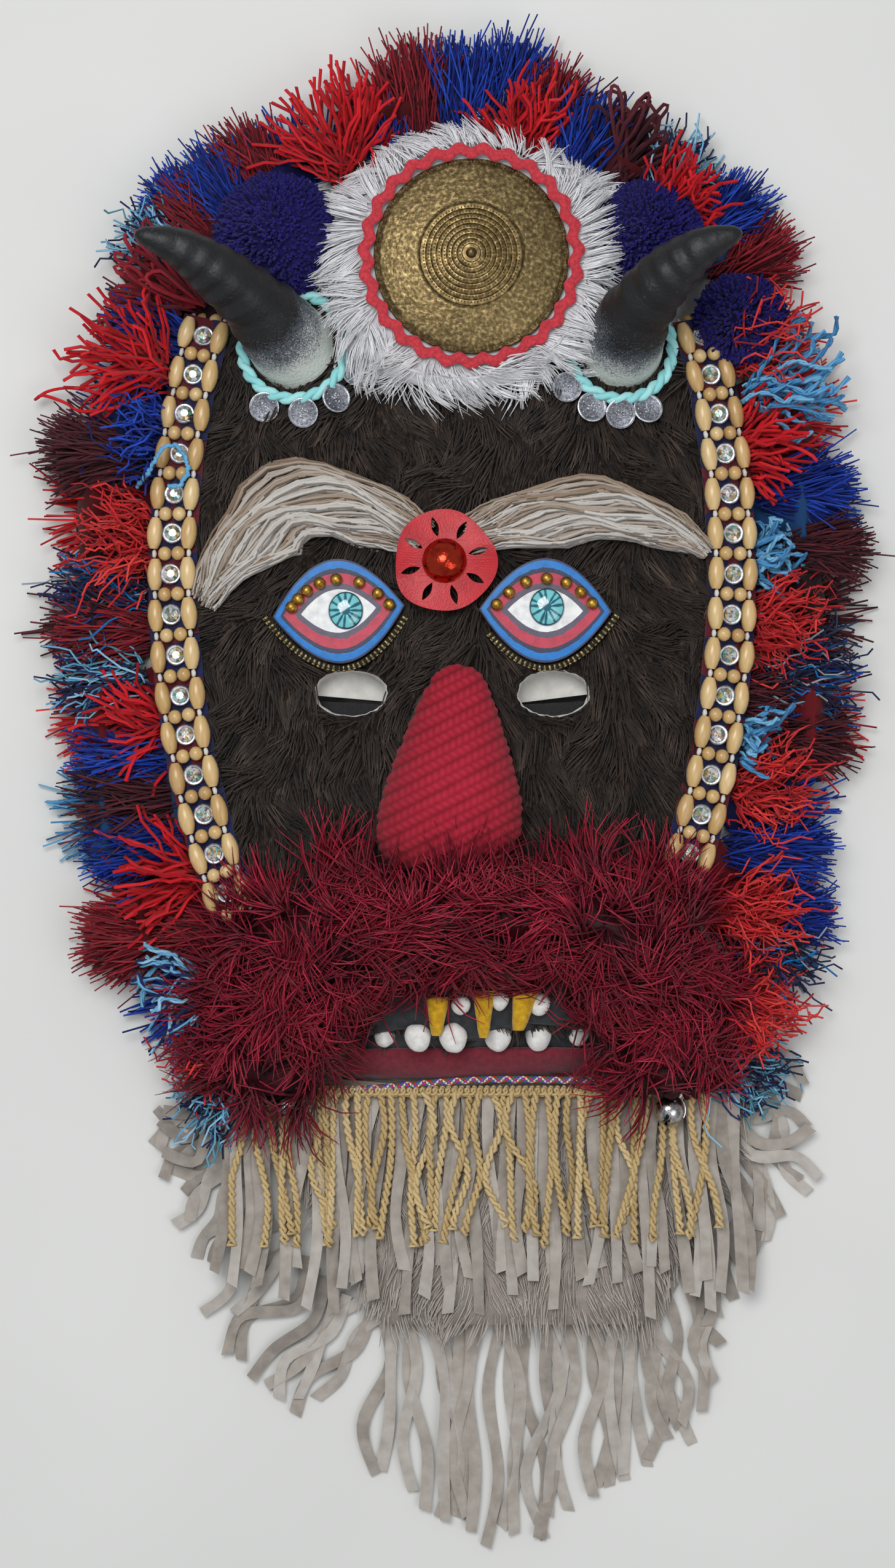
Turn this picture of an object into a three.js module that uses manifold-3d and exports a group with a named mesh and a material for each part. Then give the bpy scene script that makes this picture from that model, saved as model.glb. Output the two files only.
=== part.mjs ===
// A kukeri mask lying face up: a shallow white shell under dark plush fur, with horns, pompoms, a brass
// boss, painted eyes, a knitted nose, a yarn moustache, a mouth with teeth, a wreath of yarn tassels and
// a fringed beard. Millimetres; +X to the mask's left as it is seen, +Y to its forehead, +Z out of the face.
import * as THREE from "three";
import { mergeVertices } from "three/addons/utils/BufferGeometryUtils.js";
import Module from "manifold-3d";

const wasm = await Module();
wasm.setup();

// The shell and what covers it
const shellHalfWidth = 150;
const shellCrown = 205; // from its middle up to the rim
const shellChin = 240; // from its middle down to the rim
const shellMiddle = 95; // height of its middle above the layout's zero
const shellRise = 38;
const shellWall = 5;
const shellSpokes = 20;
const domeFlatness = 3.5;
const domeShoulder = 0.7;
const chinSquareness = 2.6;
const furPile = 9;
const furEdge = 0.9; // share of the shell's reach that the fur covers
const gap = 0.3; // clearance between any two pieces
const nap = 1.8; // a piece's underside over the fur, clear of the creases in its facets

// Openings for the wearer's eyes, and the black band behind them
const holeSpread = 47; // from the middle line to each hole's middle
const holeHeight = 42;
const holeHalfWidth = 16.5;
const holeHalfHeight = 10.5;
const bandTop = 39.5;
const bandDepth = 26;
const bandHalfWidth = 78;
const bandThickness = 1.5;

// Horns and their coin ropes
const hornBaseRadius = 20.5;
const hornTipRadius = 3;
const ropeRadius = 2.5;
const coinRadius = 6.9;
const coinThickness = 1;
const coinDrop = 31.5; // from the middle of the horn to each coin's middle
const hornLeft = [[-73.4, 203, 38], [-84, 213, 59], [-99, 226, 77], [-121, 240, 91], [-142, 246, 98]];
const hornRight = [[78, 203, 37], [82, 212, 59], [93.5, 226, 79], [111, 240, 93], [129, 246.5, 100]];
const coinTurnsLeft = [-116, -82, -51, -22];
const coinTurnsRight = [-142, -115, -90, -66];

// The forehead's fur patch, boss and braid
const bossAt = [8.7, 243];
const bossRadius = 45;
const bossRise = 9;
const bossPinRadius = 2.4;
const patchRadius = 64;
const patchThickness = 13;
const ricracWidth = 6;
const ricracThickness = 1.6;
const ricracWaves = 24;
const ricracSwing = 1.1;

// Pompoms
const pompomRadius = 31;
const pompomRightRadius = 29;
const pompomSideRadius = 20;
const pompomFlatness = 0.85;
const pompomBelly = 0.02; // how little its flattened underside still bulges
const pompomLeftAt = [-79, 254];
const pompomRightAt = [88, 253];
const pompomSideSlot = 7; // the tassel whose place the small pompom takes, from the right cheek up
const pompomSideOut = 14; // from the rim to its middle

// The ladders of wooden beads
const ladderHalfWidth = 131; // from the middle line to a ladder's widest place
const ladderWidestAt = 100;
const ladderBow = 0.00115; // how fast a ladder runs inwards, in 1/mm
const ladderTop = 219;
const ladderCells = 15;
const ladderPitch = 18.9; // an oval bead and its knot
const railSpread = 8.2;
const ovalRadius = 4;
const roundRadius = 3.3;
const threadWidth = 1.8;
const tapeHalfWidth = 12;
const tapeThickness = 1.2;

// Brows, flower and eyes
const browLeft = [[-115, 86], [-101, 107], [-79, 128], [-54, 130], [-32, 123], [-16, 113]];
const browRight = [[9, 115], [27, 121], [52, 126.5], [81, 125], [103, 118], [117, 109]];
const browLeftHalf = [7, 15, 20, 18, 15, 10];
const browRightHalf = [9, 14, 15, 14, 10, 4];
const browLeftRise = [6, 10, 11, 10, 8, 4.6];
const browRightRise = [4.6, 9, 10, 10, 8, 5];
const eyeLeftAt = [-52.5, 79.8];
const eyeRightAt = [43, 80.1];
const eyeLeftTilt = 5;
const eyeRightTilt = -1;
const eyeHalfWidth = 30;
const eyeHalfHeight = 23.7;
const eyeThickness = 4;
const irisRadius = 8;
const irisRise = 3.4;
const zipperWidth = 3.2;
const zipperThickness = 2.4;
const lidBeadRadius = 2.2;
const lidBeads = 7;
const lidBeadSpan = 0.74;
const lidBeadInset = 0.72;
const flowerAt = [-3.6, 102.7];
const flowerRadius = 23.3;
const flowerThickness = 1.2;
const flowerLift = 7; // its underside above the fur
const flowerPetalSlits = 8;
const slitLength = 8.8;
const slitHalfWidth = 1.6;
const buttonRadius = 9.8;
const buttonRise = 7;

// Nose, moustache and mouth
const noseTop = [7.6, 49];
const noseTip = [1.5, -35];
const noseHalfWidths = [8, 15, 22, 29, 35, 35, 24];
const noseRises = [5, 17, 28, 37, 42, 36, 18];
const noseLean = 4; // how far its ridge stands to the right
const moustache = [
  [-80, -150], [-86, -118], [-71, -86], [-38, -68], [2, -62], [42, -61], [78, -73], [98, -102], [97, -150],
];
const moustacheHalf = [34, 39, 37, 33, 31, 32, 36, 39, 34];
const moustacheRise = 29;
const moustacheRounding = 0.16; // share of its length in which each end rounds off
const mouthAt = [16, -108];
const mouthHalfWidth = 58;
const mouthHalfHeight = 19;
const mouthThickness = 2;
const lowerTeeth = [-31.7, -16, 0.4, 21.5, 40.4, 59.4];
const lowerTeethY = -118.5;
const toothRadius = 6;
const fangs = [-7, 14.6, 32.8];
const fangY = -110;
const fangLength = 17;
const fangRadius = 4.6;
const fangLift = 2.4;
const lipTop = -125;
const lipBottom = -140;
const lipLeft = -50;
const lipRight = 84;
const lipThickness = 7;
const lipBraidRadius = 1.9;

// The bullion fringe and its bells
const fringeLeft = -101;
const fringeRight = 123;
const fringeTop = -146;
const fringeHeader = 7;
const fringeDrop = 70;
const fringeCords = 30;
const fringeCordWidth = 4.4;
const fringeThickness = 3.8;
const bellRadius = 7.3;
const bellLeftAt = [-77, -150];
const bellRightAt = [102, -153];

// The beard: a grey fur panel with a suede fringe over it and one under its edge
const panelTop = -147;
const panelHem = -256;
const panelTopLeft = -118;
const panelTopRight = 148;
const panelHemLeft = -32;
const panelHemRight = 94;
const panelThickness = 9;
const panelLift = 3.4;
const panelClimb = 14; // how far its upper corners follow the rim upwards
const stripWidth = 6;
const suede = 1.6;
const upperStrips = 20;
const upperStripDrop = 88;
const hemStrips = 13;
const hemStripDrop = 112;
const sideStrips = 9;
const sideStripLength = 45;
const sideStripGrowth = 21; // how much longer the lowest side strip is than the highest

// The wreath of tassels
const tasselNodes = 22;
const tasselLength = 50; // beyond the shell's rim
const tasselRagged = 6;
const tasselRise = 40;
const tasselParting = 0.008; // share of a tassel's place left open on each side
const wreathFrom = -56; // degrees, at the right under the cheek
const wreathTo = 236;
const tasselSides = 7;

const up = new THREE.Vector3(0, 0, 1);
const degrees = Math.PI / 180;

// A closed geometry as a solid with its faces pointing out
function solidOf(geometry) {
  const bare = geometry.clone();
  for (const name of Object.keys(bare.attributes)) if (name !== "position") bare.deleteAttribute(name);
  const merged = mergeVertices(bare, 1e-3);
  const corners = Array.from(merged.index.array);
  const triangles = [];
  for (let i = 0; i < corners.length; i += 3) {
    const [a, b, c] = corners.slice(i, i + 3);
    if (a !== b && b !== c && c !== a) triangles.push([a, b, c]);
  }
  const make = (list) =>
    new wasm.Manifold(
      new wasm.Mesh({
        numProp: 3,
        vertProperties: new Float32Array(merged.attributes.position.array),
        triVerts: new Uint32Array(list.flat()),
      }),
    );
  const made = make(triangles);
  return made.volume() < 0 ? make(triangles.map(([a, b, c]) => [a, c, b])) : made;
}

function geometryOf(solid) {
  const mesh = solid.getMesh();
  const places = new Float32Array(mesh.numVert * 3);
  for (let i = 0; i < mesh.numVert; i++) {
    places.set(mesh.vertProperties.subarray(i * mesh.numProp, i * mesh.numProp + 3), i * 3);
  }
  return new THREE.BufferGeometry()
    .setAttribute("position", new THREE.BufferAttribute(places, 3))
    .setIndex(new THREE.BufferAttribute(new Uint32Array(mesh.triVerts), 1));
}

const join = (solids) => solids.reduce((all, one) => all.add(one));

const larger = (best, one) => (one.volume() > best.volume() ? one : best);
const largest = (solid) => solid.decompose().reduce(larger);

const planar = (pairs) => pairs.map(([x, y]) => new THREE.Vector2(x, y));

const plate = (points, depth) =>
  new THREE.ExtrudeGeometry(new THREE.Shape(planar(points)), { depth, bevelEnabled: false });

// A turned form standing on a place: its profile gives shares of a radius and of a rise
function dome(profile, radius, rise, sides, at) {
  const points = planar(profile.map(([r, h]) => [r * radius, h * rise]));
  return solidOf(new THREE.LatheGeometry(points, sides).rotateX(Math.PI / 2).translate(...at));
}

// The same solid with its surface moved out, for cutting a neighbour clear of it
function swollen(solid, by) {
  const geometry = mergeVertices(geometryOf(solid), 1e-3);
  geometry.computeVertexNormals();
  const place = geometry.attributes.position;
  const normal = geometry.attributes.normal;
  for (let i = 0; i < place.count; i++) {
    const at = new THREE.Vector3().fromBufferAttribute(place, i);
    at.addScaledVector(new THREE.Vector3().fromBufferAttribute(normal, i), by);
    place.setXYZ(i, at.x, at.y, at.z);
  }
  return solidOf(geometry);
}

// A geometry with each vertex moved by a rule
function shaped(geometry, rule) {
  const place = geometry.attributes.position;
  const at = new THREE.Vector3();
  for (let i = 0; i < place.count; i++) {
    at.fromBufferAttribute(place, i);
    const to = rule(at);
    place.setXYZ(i, to.x, to.y, to.z);
  }
  return geometry;
}

const mixed = (list, t) => {
  const place = t * (list.length - 1);
  const first = Math.min(Math.floor(place), list.length - 2);
  return THREE.MathUtils.lerp(list[first], list[first + 1], place - first);
};

const curveOf = (points) => new THREE.CatmullRomCurve3(points.map((p) => new THREE.Vector3(...p)));

// The shell's outline and heights: reach is 0 at its middle and 1 at its rim
function reachOf(x, y) {
  const rise = y - shellMiddle;
  const power = rise >= 0 ? 2 : chinSquareness;
  const length = rise >= 0 ? shellCrown : shellChin;
  return ((Math.abs(x) / shellHalfWidth) ** power + (Math.abs(rise) / length) ** power) ** (1 / power);
}

const domeAt = (reach) => (1 - Math.min(reach, 1) ** domeFlatness) ** domeShoulder;
const levelAt = (reach) => shellWall + (shellRise - shellWall) * domeAt(reach);
const domeReaches = [0, 0.5, 0.74, furEdge, 0.96, 1];

// The point at a turn and reach of the shell's outline; grow moves the outline out
function outline(turn, reach, grow = 0) {
  const c = Math.cos(turn);
  const s = Math.sin(turn);
  const power = s >= 0 ? 1 : 2 / chinSquareness;
  const length = (s >= 0 ? shellCrown : shellChin) + grow;
  return new THREE.Vector2(
    (shellHalfWidth + grow) * reach * Math.sign(c) * Math.abs(c) ** power,
    shellMiddle + length * reach * Math.sign(s) * Math.abs(s) ** power,
  );
}

// A profile of reaches and heights, swept round the shell's outline; grow moves it out
function sweptOverShell(profile, grow) {
  return shaped(new THREE.LatheGeometry(planar(profile), shellSpokes), (v) => {
    const at = outline(Math.atan2(v.z, v.x), Math.hypot(v.x, v.z), grow);
    return new THREE.Vector3(at.x, at.y, v.y);
  });
}

// Heights of the shell's own facets, and flat ground beyond its rim
const farReach = 2.2;
const skinProfile = [...domeReaches.map((reach) => [reach, levelAt(reach)]), [farReach, shellWall]];
const bothSides = new THREE.MeshBasicMaterial({ side: THREE.DoubleSide });
const skinFacets = new THREE.Mesh(sweptOverShell(skinProfile, 0), bothSides);
const plumb = new THREE.Raycaster();

function skin(x, y) {
  plumb.set(new THREE.Vector3(x, y, 10 * shellRise), new THREE.Vector3(0, 0, -1));
  return plumb.intersectObject(skinFacets)[0].point.z;
}

const cover = (x, y) => skin(x, y) + furPile;

const within = (edge) => domeReaches.filter((reach) => reach <= edge);

// A layer between two heights above the shell's own dome, out to a reach
function layer(low, high, edge) {
  const top = within(edge).map((reach) => [reach, levelAt(reach) + high]);
  const under = within(edge).map((reach) => [reach, levelAt(reach) + low]);
  return solidOf(sweptOverShell([...top, ...under.reverse()], 0));
}

// The shell's board: its rim ends in a flat edge as wide as the wall
function shell() {
  const top = domeReaches.map((reach) => [reach, levelAt(reach)]);
  const under = within(furEdge).map((reach) => [reach, levelAt(reach) - shellWall]);
  const rim = [[1 - shellWall / shellHalfWidth, 0], [1, 0]];
  return solidOf(sweptOverShell([...top, ...[...under, ...rim].reverse()], 0));
}

// Everything under a height above the dome: pieces that lie on it are cut with this
function bulk(above, edge) {
  const top = within(edge).map((reach) => [reach, levelAt(reach) + above]);
  return solidOf(sweptOverShell([...top, [edge, -shellWall], [0, -shellWall]], gap));
}

function eyeHoles(grow) {
  const hole = (side) => {
    const bare = new THREE.CylinderGeometry(1, 1, 3 * shellRise, 12);
    return solidOf(
      shaped(bare, (v) => new THREE.Vector3(
        side * holeSpread + v.x * (holeHalfWidth + grow),
        holeHeight + v.z * (holeHalfHeight + grow),
        v.y + shellRise,
      )),
    );
  };
  return hole(-1).add(hole(1));
}

// Pieces are laid from the table up, and each is cut clear of those it meets
const laid = [];
const group = new THREE.Group();

function lay(name, solid, look, { keepOut, anchor = [0, 0, 0] } = {}) {
  const box = solid.boundingBox();
  let left = solid;
  for (const other of laid) {
    const apart = [0, 1, 2].some((i) => box.min[i] > other.box.max[i] || other.box.min[i] > box.max[i]);
    if (apart || left.intersect(other.solid).isEmpty()) continue;
    left = left.subtract(other.keepOut).subtract(other.solid);
  }
  left = largest(left);
  const mesh = new THREE.Mesh(geometryOf(left).translate(...anchor.map((a) => -a)), look);
  mesh.name = name;
  mesh.position.set(...anchor);
  group.add(mesh);
  const outer = keepOut || swollen(left, 1.7 * gap);
  laid.push({ solid: left, keepOut: outer, box: outer.boundingBox() });
  return left;
}

const look = (color, roughness, metalness = 0) =>
  new THREE.MeshStandardMaterial({ color, roughness, metalness });
const looks = {
  board: look(0xe9e7e2, 0.7),
  plush: look(0x2a2320, 0.95),
  blackCloth: look(0x15161a, 0.9),
  horn: look(0x1c1c1d, 0.4),
  aqua: look(0x8fdbdf, 0.8),
  whiteFur: look(0xd9dbe0, 0.9),
  redBraid: look(0xc41f35, 0.7),
  brass: look(0x7d6a45, 0.4, 1),
  navyYarn: look(0x151b66, 0.95),
  wood: look(0xd2ac70, 0.45),
  tape: look(0x1b2f8f, 0.9),
  wool: look(0xa89985, 0.95),
  eyePaint: look(0x1583d0, 0.5),
  iris: look(0x3aa6ad, 0.1),
  zipper: look(0x6b6440, 0.5, 0.8),
  leatherette: look(0xc51c2b, 0.45),
  copper: look(0x8c1f1a, 0.2, 0.9),
  knit: look(0xa31d35, 0.95),
  crimsonYarn: look(0x6f1426, 0.8),
  lip: look(0x7a1c2c, 0.8),
  metallicBraid: look(0x9c6a8c, 0.5),
  bullion: look(0xcdb27a, 0.8),
  bell: look(0xc9c9cb, 0.15, 1),
  greyFur: look(0x9b938c, 0.9),
  suede: look(0xaaa39b, 0.9),
  redYarn: look(0xc3151f, 0.95),
  royalYarn: look(0x1632a0, 0.95),
  maroonYarn: look(0x4a1420, 0.95),
  coralYarn: look(0xd5302c, 0.95),
  skyYarn: look(0x3c87bd, 0.95),
};

// Shell, black band and fur
lay("mask_base", shell().subtract(eyeHoles(0)), looks.board, { keepOut: bulk(gap, 1) });

function eyeBand() {
  const bare = new THREE.BoxGeometry(2, 1, 1, 8, 1, 1);
  const sag = 4;
  return solidOf(
    shaped(bare, (v) => {
      const x = v.x * bandHalfWidth;
      const y = bandTop - sag * (1 - Math.abs(v.x)) - (0.5 - v.y) * bandDepth;
      return new THREE.Vector3(x, y, skin(x, y) - shellWall - 2 * gap - (0.5 - v.z) * bandThickness);
    }),
  );
}
const band = eyeBand();
const bandMesh = new THREE.Mesh(geometryOf(band), looks.blackCloth);
bandMesh.name = "eye_band";
group.add(bandMesh);

const plush = layer(gap, furPile, furEdge).subtract(eyeHoles(1));
lay("fur_face", plush, looks.plush, { keepOut: bulk(furPile + gap, furEdge) });

// Lowered onto the fur: what is at height 0 comes to rest on it
const onCover = (v) => v.clone().setZ(v.z + cover(v.x, v.y) + nap);

// A long rounded form lying along a path in plan, flat underneath on what a base height says
function mound(path, sides, steps, halfWidth, rise, base = (x, y) => cover(x, y) + nap) {
  const curve = curveOf(path.map(([x, y]) => [x, y, 0]));
  const bare = new THREE.CylinderGeometry(1, 1, 1, sides, steps);
  return solidOf(
    shaped(bare, (v) => {
      const t = THREE.MathUtils.clamp(v.y + 0.5, 0, 1);
      const ahead = curve.getTangent(t);
      const aside = v.x * halfWidth(t);
      const at = curve.getPoint(t).add(new THREE.Vector3(ahead.y * aside, -ahead.x * aside, 0));
      return at.setZ(base(at.x, at.y, t) + Math.max(0, v.z) * rise(t));
    }),
  );
}

const turned = (x, y, turn, at) => [
  at[0] + x * Math.cos(turn) - y * Math.sin(turn),
  at[1] + x * Math.sin(turn) + y * Math.cos(turn),
];

// Horns
const hornGirths = [1, 0.93, 0.86, 0.75, 0.68, 0.62, 0.5, 0.36, hornTipRadius / hornBaseRadius];

// A horn along its path, its foot cut to the fur that it stands on
function horn(path) {
  const curve = curveOf(path);
  const bare = new THREE.CylinderGeometry(1, 1, 1, 9, 7);
  return solidOf(
    shaped(bare, (v) => {
      const t = THREE.MathUtils.clamp(v.y + 0.5, 0, 1);
      const ahead = curve.getTangent(t);
      const across = new THREE.Vector3().crossVectors(ahead, up).normalize();
      const off = new THREE.Vector3().crossVectors(across, ahead);
      const girth = hornBaseRadius * mixed(hornGirths, t);
      const at = curve.getPoint(t).addScaledVector(across, v.x * girth).addScaledVector(off, v.z * girth);
      return t > 0 ? at : at.setZ(cover(at.x, at.y) + gap);
    }),
  );
}

lay("horn_left", horn(hornLeft), looks.horn, { anchor: hornLeft[0] });
lay("horn_right", horn(hornRight), looks.horn, { anchor: hornRight[0] });

// Forehead: fur patch, boss and wavy braid
const bossBase = Math.max(cover(...bossAt), cover(bossAt[0], bossAt[1] - bossRadius) - 4) + patchThickness;

function patchReach(turn) {
  const lobe = (at, size, sharp) => size * Math.max(0, Math.cos(turn - at * degrees)) ** sharp;
  return patchRadius + lobe(24, 21, 30) + lobe(-135, 10, 16) + lobe(165, 5, 8);
}

function foreheadFur() {
  const seat = (bossRadius + ricracWidth + 3) / patchRadius;
  const profile = [[0, 0], [0.5, 0], [1, 0], [1, 0.75], [0.88, 1], [seat, 1], [0, 1]];
  return solidOf(
    shaped(new THREE.LatheGeometry(planar(profile), 16), (v) => {
      const turn = Math.atan2(v.z, v.x);
      const reach = Math.hypot(v.x, v.z);
      const size = reach * (reach > seat + 0.01 ? patchReach(turn) : patchRadius);
      const [x, y] = turned(size, 0, turn, bossAt);
      const under = cover(x, y) + (reach > 0.99 ? 1 : 3.5) * nap;
      const top = reach > seat + 0.01 ? under + patchThickness : bossBase;
      return new THREE.Vector3(x, y, THREE.MathUtils.lerp(under, top, v.y));
    }),
  );
}
lay("forehead_fur", foreheadFur(), looks.whiteFur);

const pinShare = bossPinRadius / bossRadius;
const bossProfile = [
  [0, 0], [1, 0], [1, 0.12], [0.8, 0.5], [0.45, 0.85], [pinShare, 1], [pinShare, 1.18], [0, 1.3],
];
const boss = dome(bossProfile, bossRadius, bossRise, 18, [...bossAt, bossBase + gap]);
lay("brass_boss", boss, looks.brass, { anchor: [...bossAt, bossBase] });

function ricrac() {
  const section = [[1, 0], [2, 0], [1.5, 1], [1, 0]];
  return solidOf(
    shaped(new THREE.LatheGeometry(planar(section), 2 * ricracWaves), (v) => {
      const turn = Math.atan2(v.z, v.x);
      const across = Math.hypot(v.x, v.z) - 1;
      const inner = bossRadius + gap + ricracSwing * (1 + Math.cos(ricracWaves * turn));
      const [x, y] = turned(inner + across * (ricracWidth - ricracSwing), 0, turn, bossAt);
      return new THREE.Vector3(x, y, bossBase + gap + v.y * ricracThickness);
    }),
  );
}
lay("ricrac_braid", ricrac(), looks.redBraid, { anchor: [...bossAt, bossBase] });

// Ropes of coins
function coinRope(base, turns) {
  const ring = hornBaseRadius + gap + ropeRadius + 0.6;
  const rope = new THREE.TorusGeometry(ring, ropeRadius, 4, 14);
  const lie = (v) => {
    const [x, y] = [base[0] + v.x, base[1] + v.y];
    return new THREE.Vector3(x, y, cover(x, y) + nap + ropeRadius + v.z);
  };
  const coins = turns.map((turn) => {
    const at = [base[0] + coinDrop * Math.cos(turn * degrees), base[1] + coinDrop * Math.sin(turn * degrees)];
    const bare = new THREE.CylinderGeometry(coinRadius, coinRadius, coinThickness, 7).rotateX(Math.PI / 2);
    return solidOf(shaped(bare, (v) => {
      const x = at[0] + v.x;
      const y = at[1] + v.y;
      return new THREE.Vector3(x, y, cover(x, y) + nap + ropeRadius / 2 + v.z);
    }));
  });
  return join([solidOf(shaped(rope, lie)), ...coins]);
}

lay("coin_rope_left", coinRope(hornLeft[0], coinTurnsLeft), looks.aqua, { anchor: hornLeft[0] });
lay("coin_rope_right", coinRope(hornRight[0], coinTurnsRight), looks.aqua, { anchor: hornRight[0] });

// Pompoms: balls flattened where they lie on the fur
function pompom(at, radius) {
  const bare = new THREE.SphereGeometry(radius, 10, 6).rotateX(Math.PI / 2);
  const middle = skin(...at) + radius * 0.5;
  return solidOf(
    shaped(bare, (v) => {
      const [x, y] = [at[0] + v.x, at[1] + v.y];
      const lowest = cover(x, y) + nap + pompomBelly * (v.z + radius);
      return new THREE.Vector3(x, y, Math.max(middle + v.z * pompomFlatness, lowest));
    }),
  );
}
lay("pompom_left", pompom(pompomLeftAt, pompomRadius), looks.navyYarn);
lay("pompom_right", pompom(pompomRightAt, pompomRightRadius), looks.navyYarn);

// Bead ladders on their tapes
const ladderX = (y) => ladderHalfWidth - ladderBow * (y - ladderWidestAt) ** 2;

// A place on a ladder: steps along it from its top, and distance out from its middle line
function onLadder(side, along, out) {
  let y = ladderTop;
  const stride = 1;
  for (let gone = 0; gone < along; gone += stride) {
    const slope = -2 * ladderBow * (y - ladderWidestAt);
    y -= Math.min(stride, along - gone) / Math.hypot(1, slope);
  }
  const slope = -2 * ladderBow * (y - ladderWidestAt);
  const turn = Math.atan(slope);
  return [side * (ladderX(y) + out * Math.cos(turn)), y - out * Math.sin(turn)];
}

const tapeTop = (x, y) => cover(x, y) + nap + tapeThickness;

const beadMiddle = (x, y) => tapeTop(x, y) + gap + ovalRadius;

// A string of beads as one form, thin at the knots and full at each bead
function beadString(path, beadCount, beadRadius, middle) {
  const girth = (t) => (Math.round(2 * beadCount * t) % 2 ? beadRadius : threadWidth / 2);
  return mound(path, 3, 2 * beadCount, girth, (t) => 2 * girth(t), (x, y, t) => middle(x, y) - girth(t));
}

function rail(side, out) {
  const path = [];
  for (let cell = 0; cell <= ladderCells; cell++) path.push(onLadder(side, cell * ladderPitch, out));
  return beadString(path, ladderCells, ovalRadius, beadMiddle);
}

// Two round beads side by side, as one lump
function rung(side, along) {
  const path = [-railSpread, 0, railSpread].map((out) => onLadder(side, along, out));
  return beadString(path, 1, roundRadius, beadMiddle);
}

function beadLadder(side) {
  const rungs = Array.from({ length: ladderCells + 1 }, (_, cell) => rung(side, cell * ladderPitch));
  return join([rail(side, -railSpread), rail(side, railSpread), ...rungs]);
}

function ladderTape(side) {
  const length = ladderCells * ladderPitch;
  const bare = new THREE.BoxGeometry(2, 1, 1, 2, Math.ceil(ladderCells / 2), 1);
  return solidOf(
    shaped(bare, (v) => {
      const [x, y] = onLadder(side, (0.5 - v.y) * length, v.x * tapeHalfWidth);
      return new THREE.Vector3(x, y, cover(x, y) + nap + (v.z + 0.5) * tapeThickness);
    }),
  );
}


// Nose, flower, eyes and brows
function nose() {
  const length = noseTop[1] - noseTip[1];
  const bare = new THREE.CylinderGeometry(1, 1, 1, 10, 6);
  return solidOf(
    shaped(bare, (v) => {
      const t = 0.5 - v.y;
      const across = v.x * mixed(noseHalfWidths, t);
      const y = noseTop[1] - t * length + (t * t) * across * 0.2;
      const x = THREE.MathUtils.lerp(noseTop[0], noseTip[0], t) + across + noseLean * v.z * t;
      return new THREE.Vector3(x, y, cover(x, y) + nap + Math.max(0, v.z) * mixed(noseRises, t));
    }),
  );
}
lay("nose", nose(), looks.knit, { anchor: [...noseTop, cover(...noseTop)] });

// A lid's height from corner to corner, for along from -1 to 1
const lidCurve = (along) => Math.max(0, 1 - along * along) ** 0.8;

// An almond of two arcs, its corners at left and right
function almond(at, turn, halfWidth, halfHeight) {
  const steps = 7;
  const points = [];
  for (const [from, half] of [[-1, halfHeight], [1, -halfHeight]]) {
    for (let i = 0; i < steps; i++) {
      const along = from * (1 - (2 * i) / steps);
      points.push(turned(along * halfWidth, half * lidCurve(along), turn, at));
    }
  }
  return points;
}

function eyePlate(at, turn) {
  const board = solidOf(shaped(plate(almond(at, turn, eyeHalfWidth, eyeHalfHeight), eyeThickness), onCover));
  const beads = [];
  for (let i = 0; i < lidBeads; i++) {
    const along = lidBeadSpan * ((2 * i) / (lidBeads - 1) - 1);
    const rise = lidBeadInset * eyeHalfHeight * lidCurve(along);
    const [x, y] = turned(along * eyeHalfWidth, rise, turn, at);
    const ball = new THREE.OctahedronGeometry(lidBeadRadius);
    beads.push(solidOf(ball.translate(x, y, cover(x, y) + nap + eyeThickness + lidBeadRadius * 0.5)));
  }
  return join([board, ...beads]);
}

const irisProfile = [[0, 0], [1, 0], [0.8, 0.6], [0.4, 0.95], [0, 1]];
const irisLevel = (at) => cover(...at) + nap + eyeThickness + gap;
const iris = (at) => dome(irisProfile, irisRadius, irisRise, 10, [...at, irisLevel(at)]);

function zipper(at, turn, side) {
  const path = [];
  for (let i = 0; i <= 8; i++) {
    const along = (2 * i) / 8 - 1;
    const below = lidCurve(along) * eyeHalfHeight + zipperWidth;
    path.push(turned(side * along * (eyeHalfWidth + 1), -below, turn, at));
  }
  return mound(path, 4, 9, () => zipperWidth / 2, () => zipperThickness);
}

for (const [word, side, at, tilt] of [
  ["left", -1, eyeLeftAt, eyeLeftTilt],
  ["right", 1, eyeRightAt, eyeRightTilt],
]) {
  lay("eye_plate_" + word, eyePlate(at, tilt * degrees), looks.eyePaint);
  lay("iris_" + word, iris(at), looks.iris);
  lay("zipper_" + word, zipper(at, tilt * degrees, side), looks.zipper);
}

const flowerLevel = cover(...flowerAt) + flowerLift;

function flower() {
  const steps = 21;
  const rim = (turn) => flowerRadius * (1 + 0.03 * Math.cos(3 * turn + 0.6));
  const points = Array.from({ length: steps }, (_, i) => {
    const turn = (i * 2 * Math.PI) / steps;
    return turned(rim(turn), 0, turn, flowerAt);
  });
  const slits = Array.from({ length: flowerPetalSlits }, (_, i) => {
    const turn = ((i + 0.35) * 2 * Math.PI) / flowerPetalSlits;
    const middle = (buttonRadius + flowerRadius) / 2;
    const half = slitLength / 2;
    const corners = [[-half, 0], [0, -slitHalfWidth], [half, 0], [0, slitHalfWidth]];
    const slit = corners.map(([x, y]) => turned(x + middle, y, turn, flowerAt));
    return solidOf(plate(slit, 3 * flowerThickness).translate(0, 0, flowerLevel - flowerThickness));
  });
  return solidOf(plate(points, flowerThickness).translate(0, 0, flowerLevel)).subtract(join(slits));
}
lay("flower", flower(), looks.leatherette, { anchor: [...flowerAt, flowerLevel] });

// Full in the middle and rounded off over a share of the length at each end
function rounded(t, share) {
  const left = THREE.MathUtils.clamp(Math.min(t, 1 - t) / share, 0, 1);
  return 0.4 + 0.6 * Math.sqrt(1 - (1 - left) ** 2);
}

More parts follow.
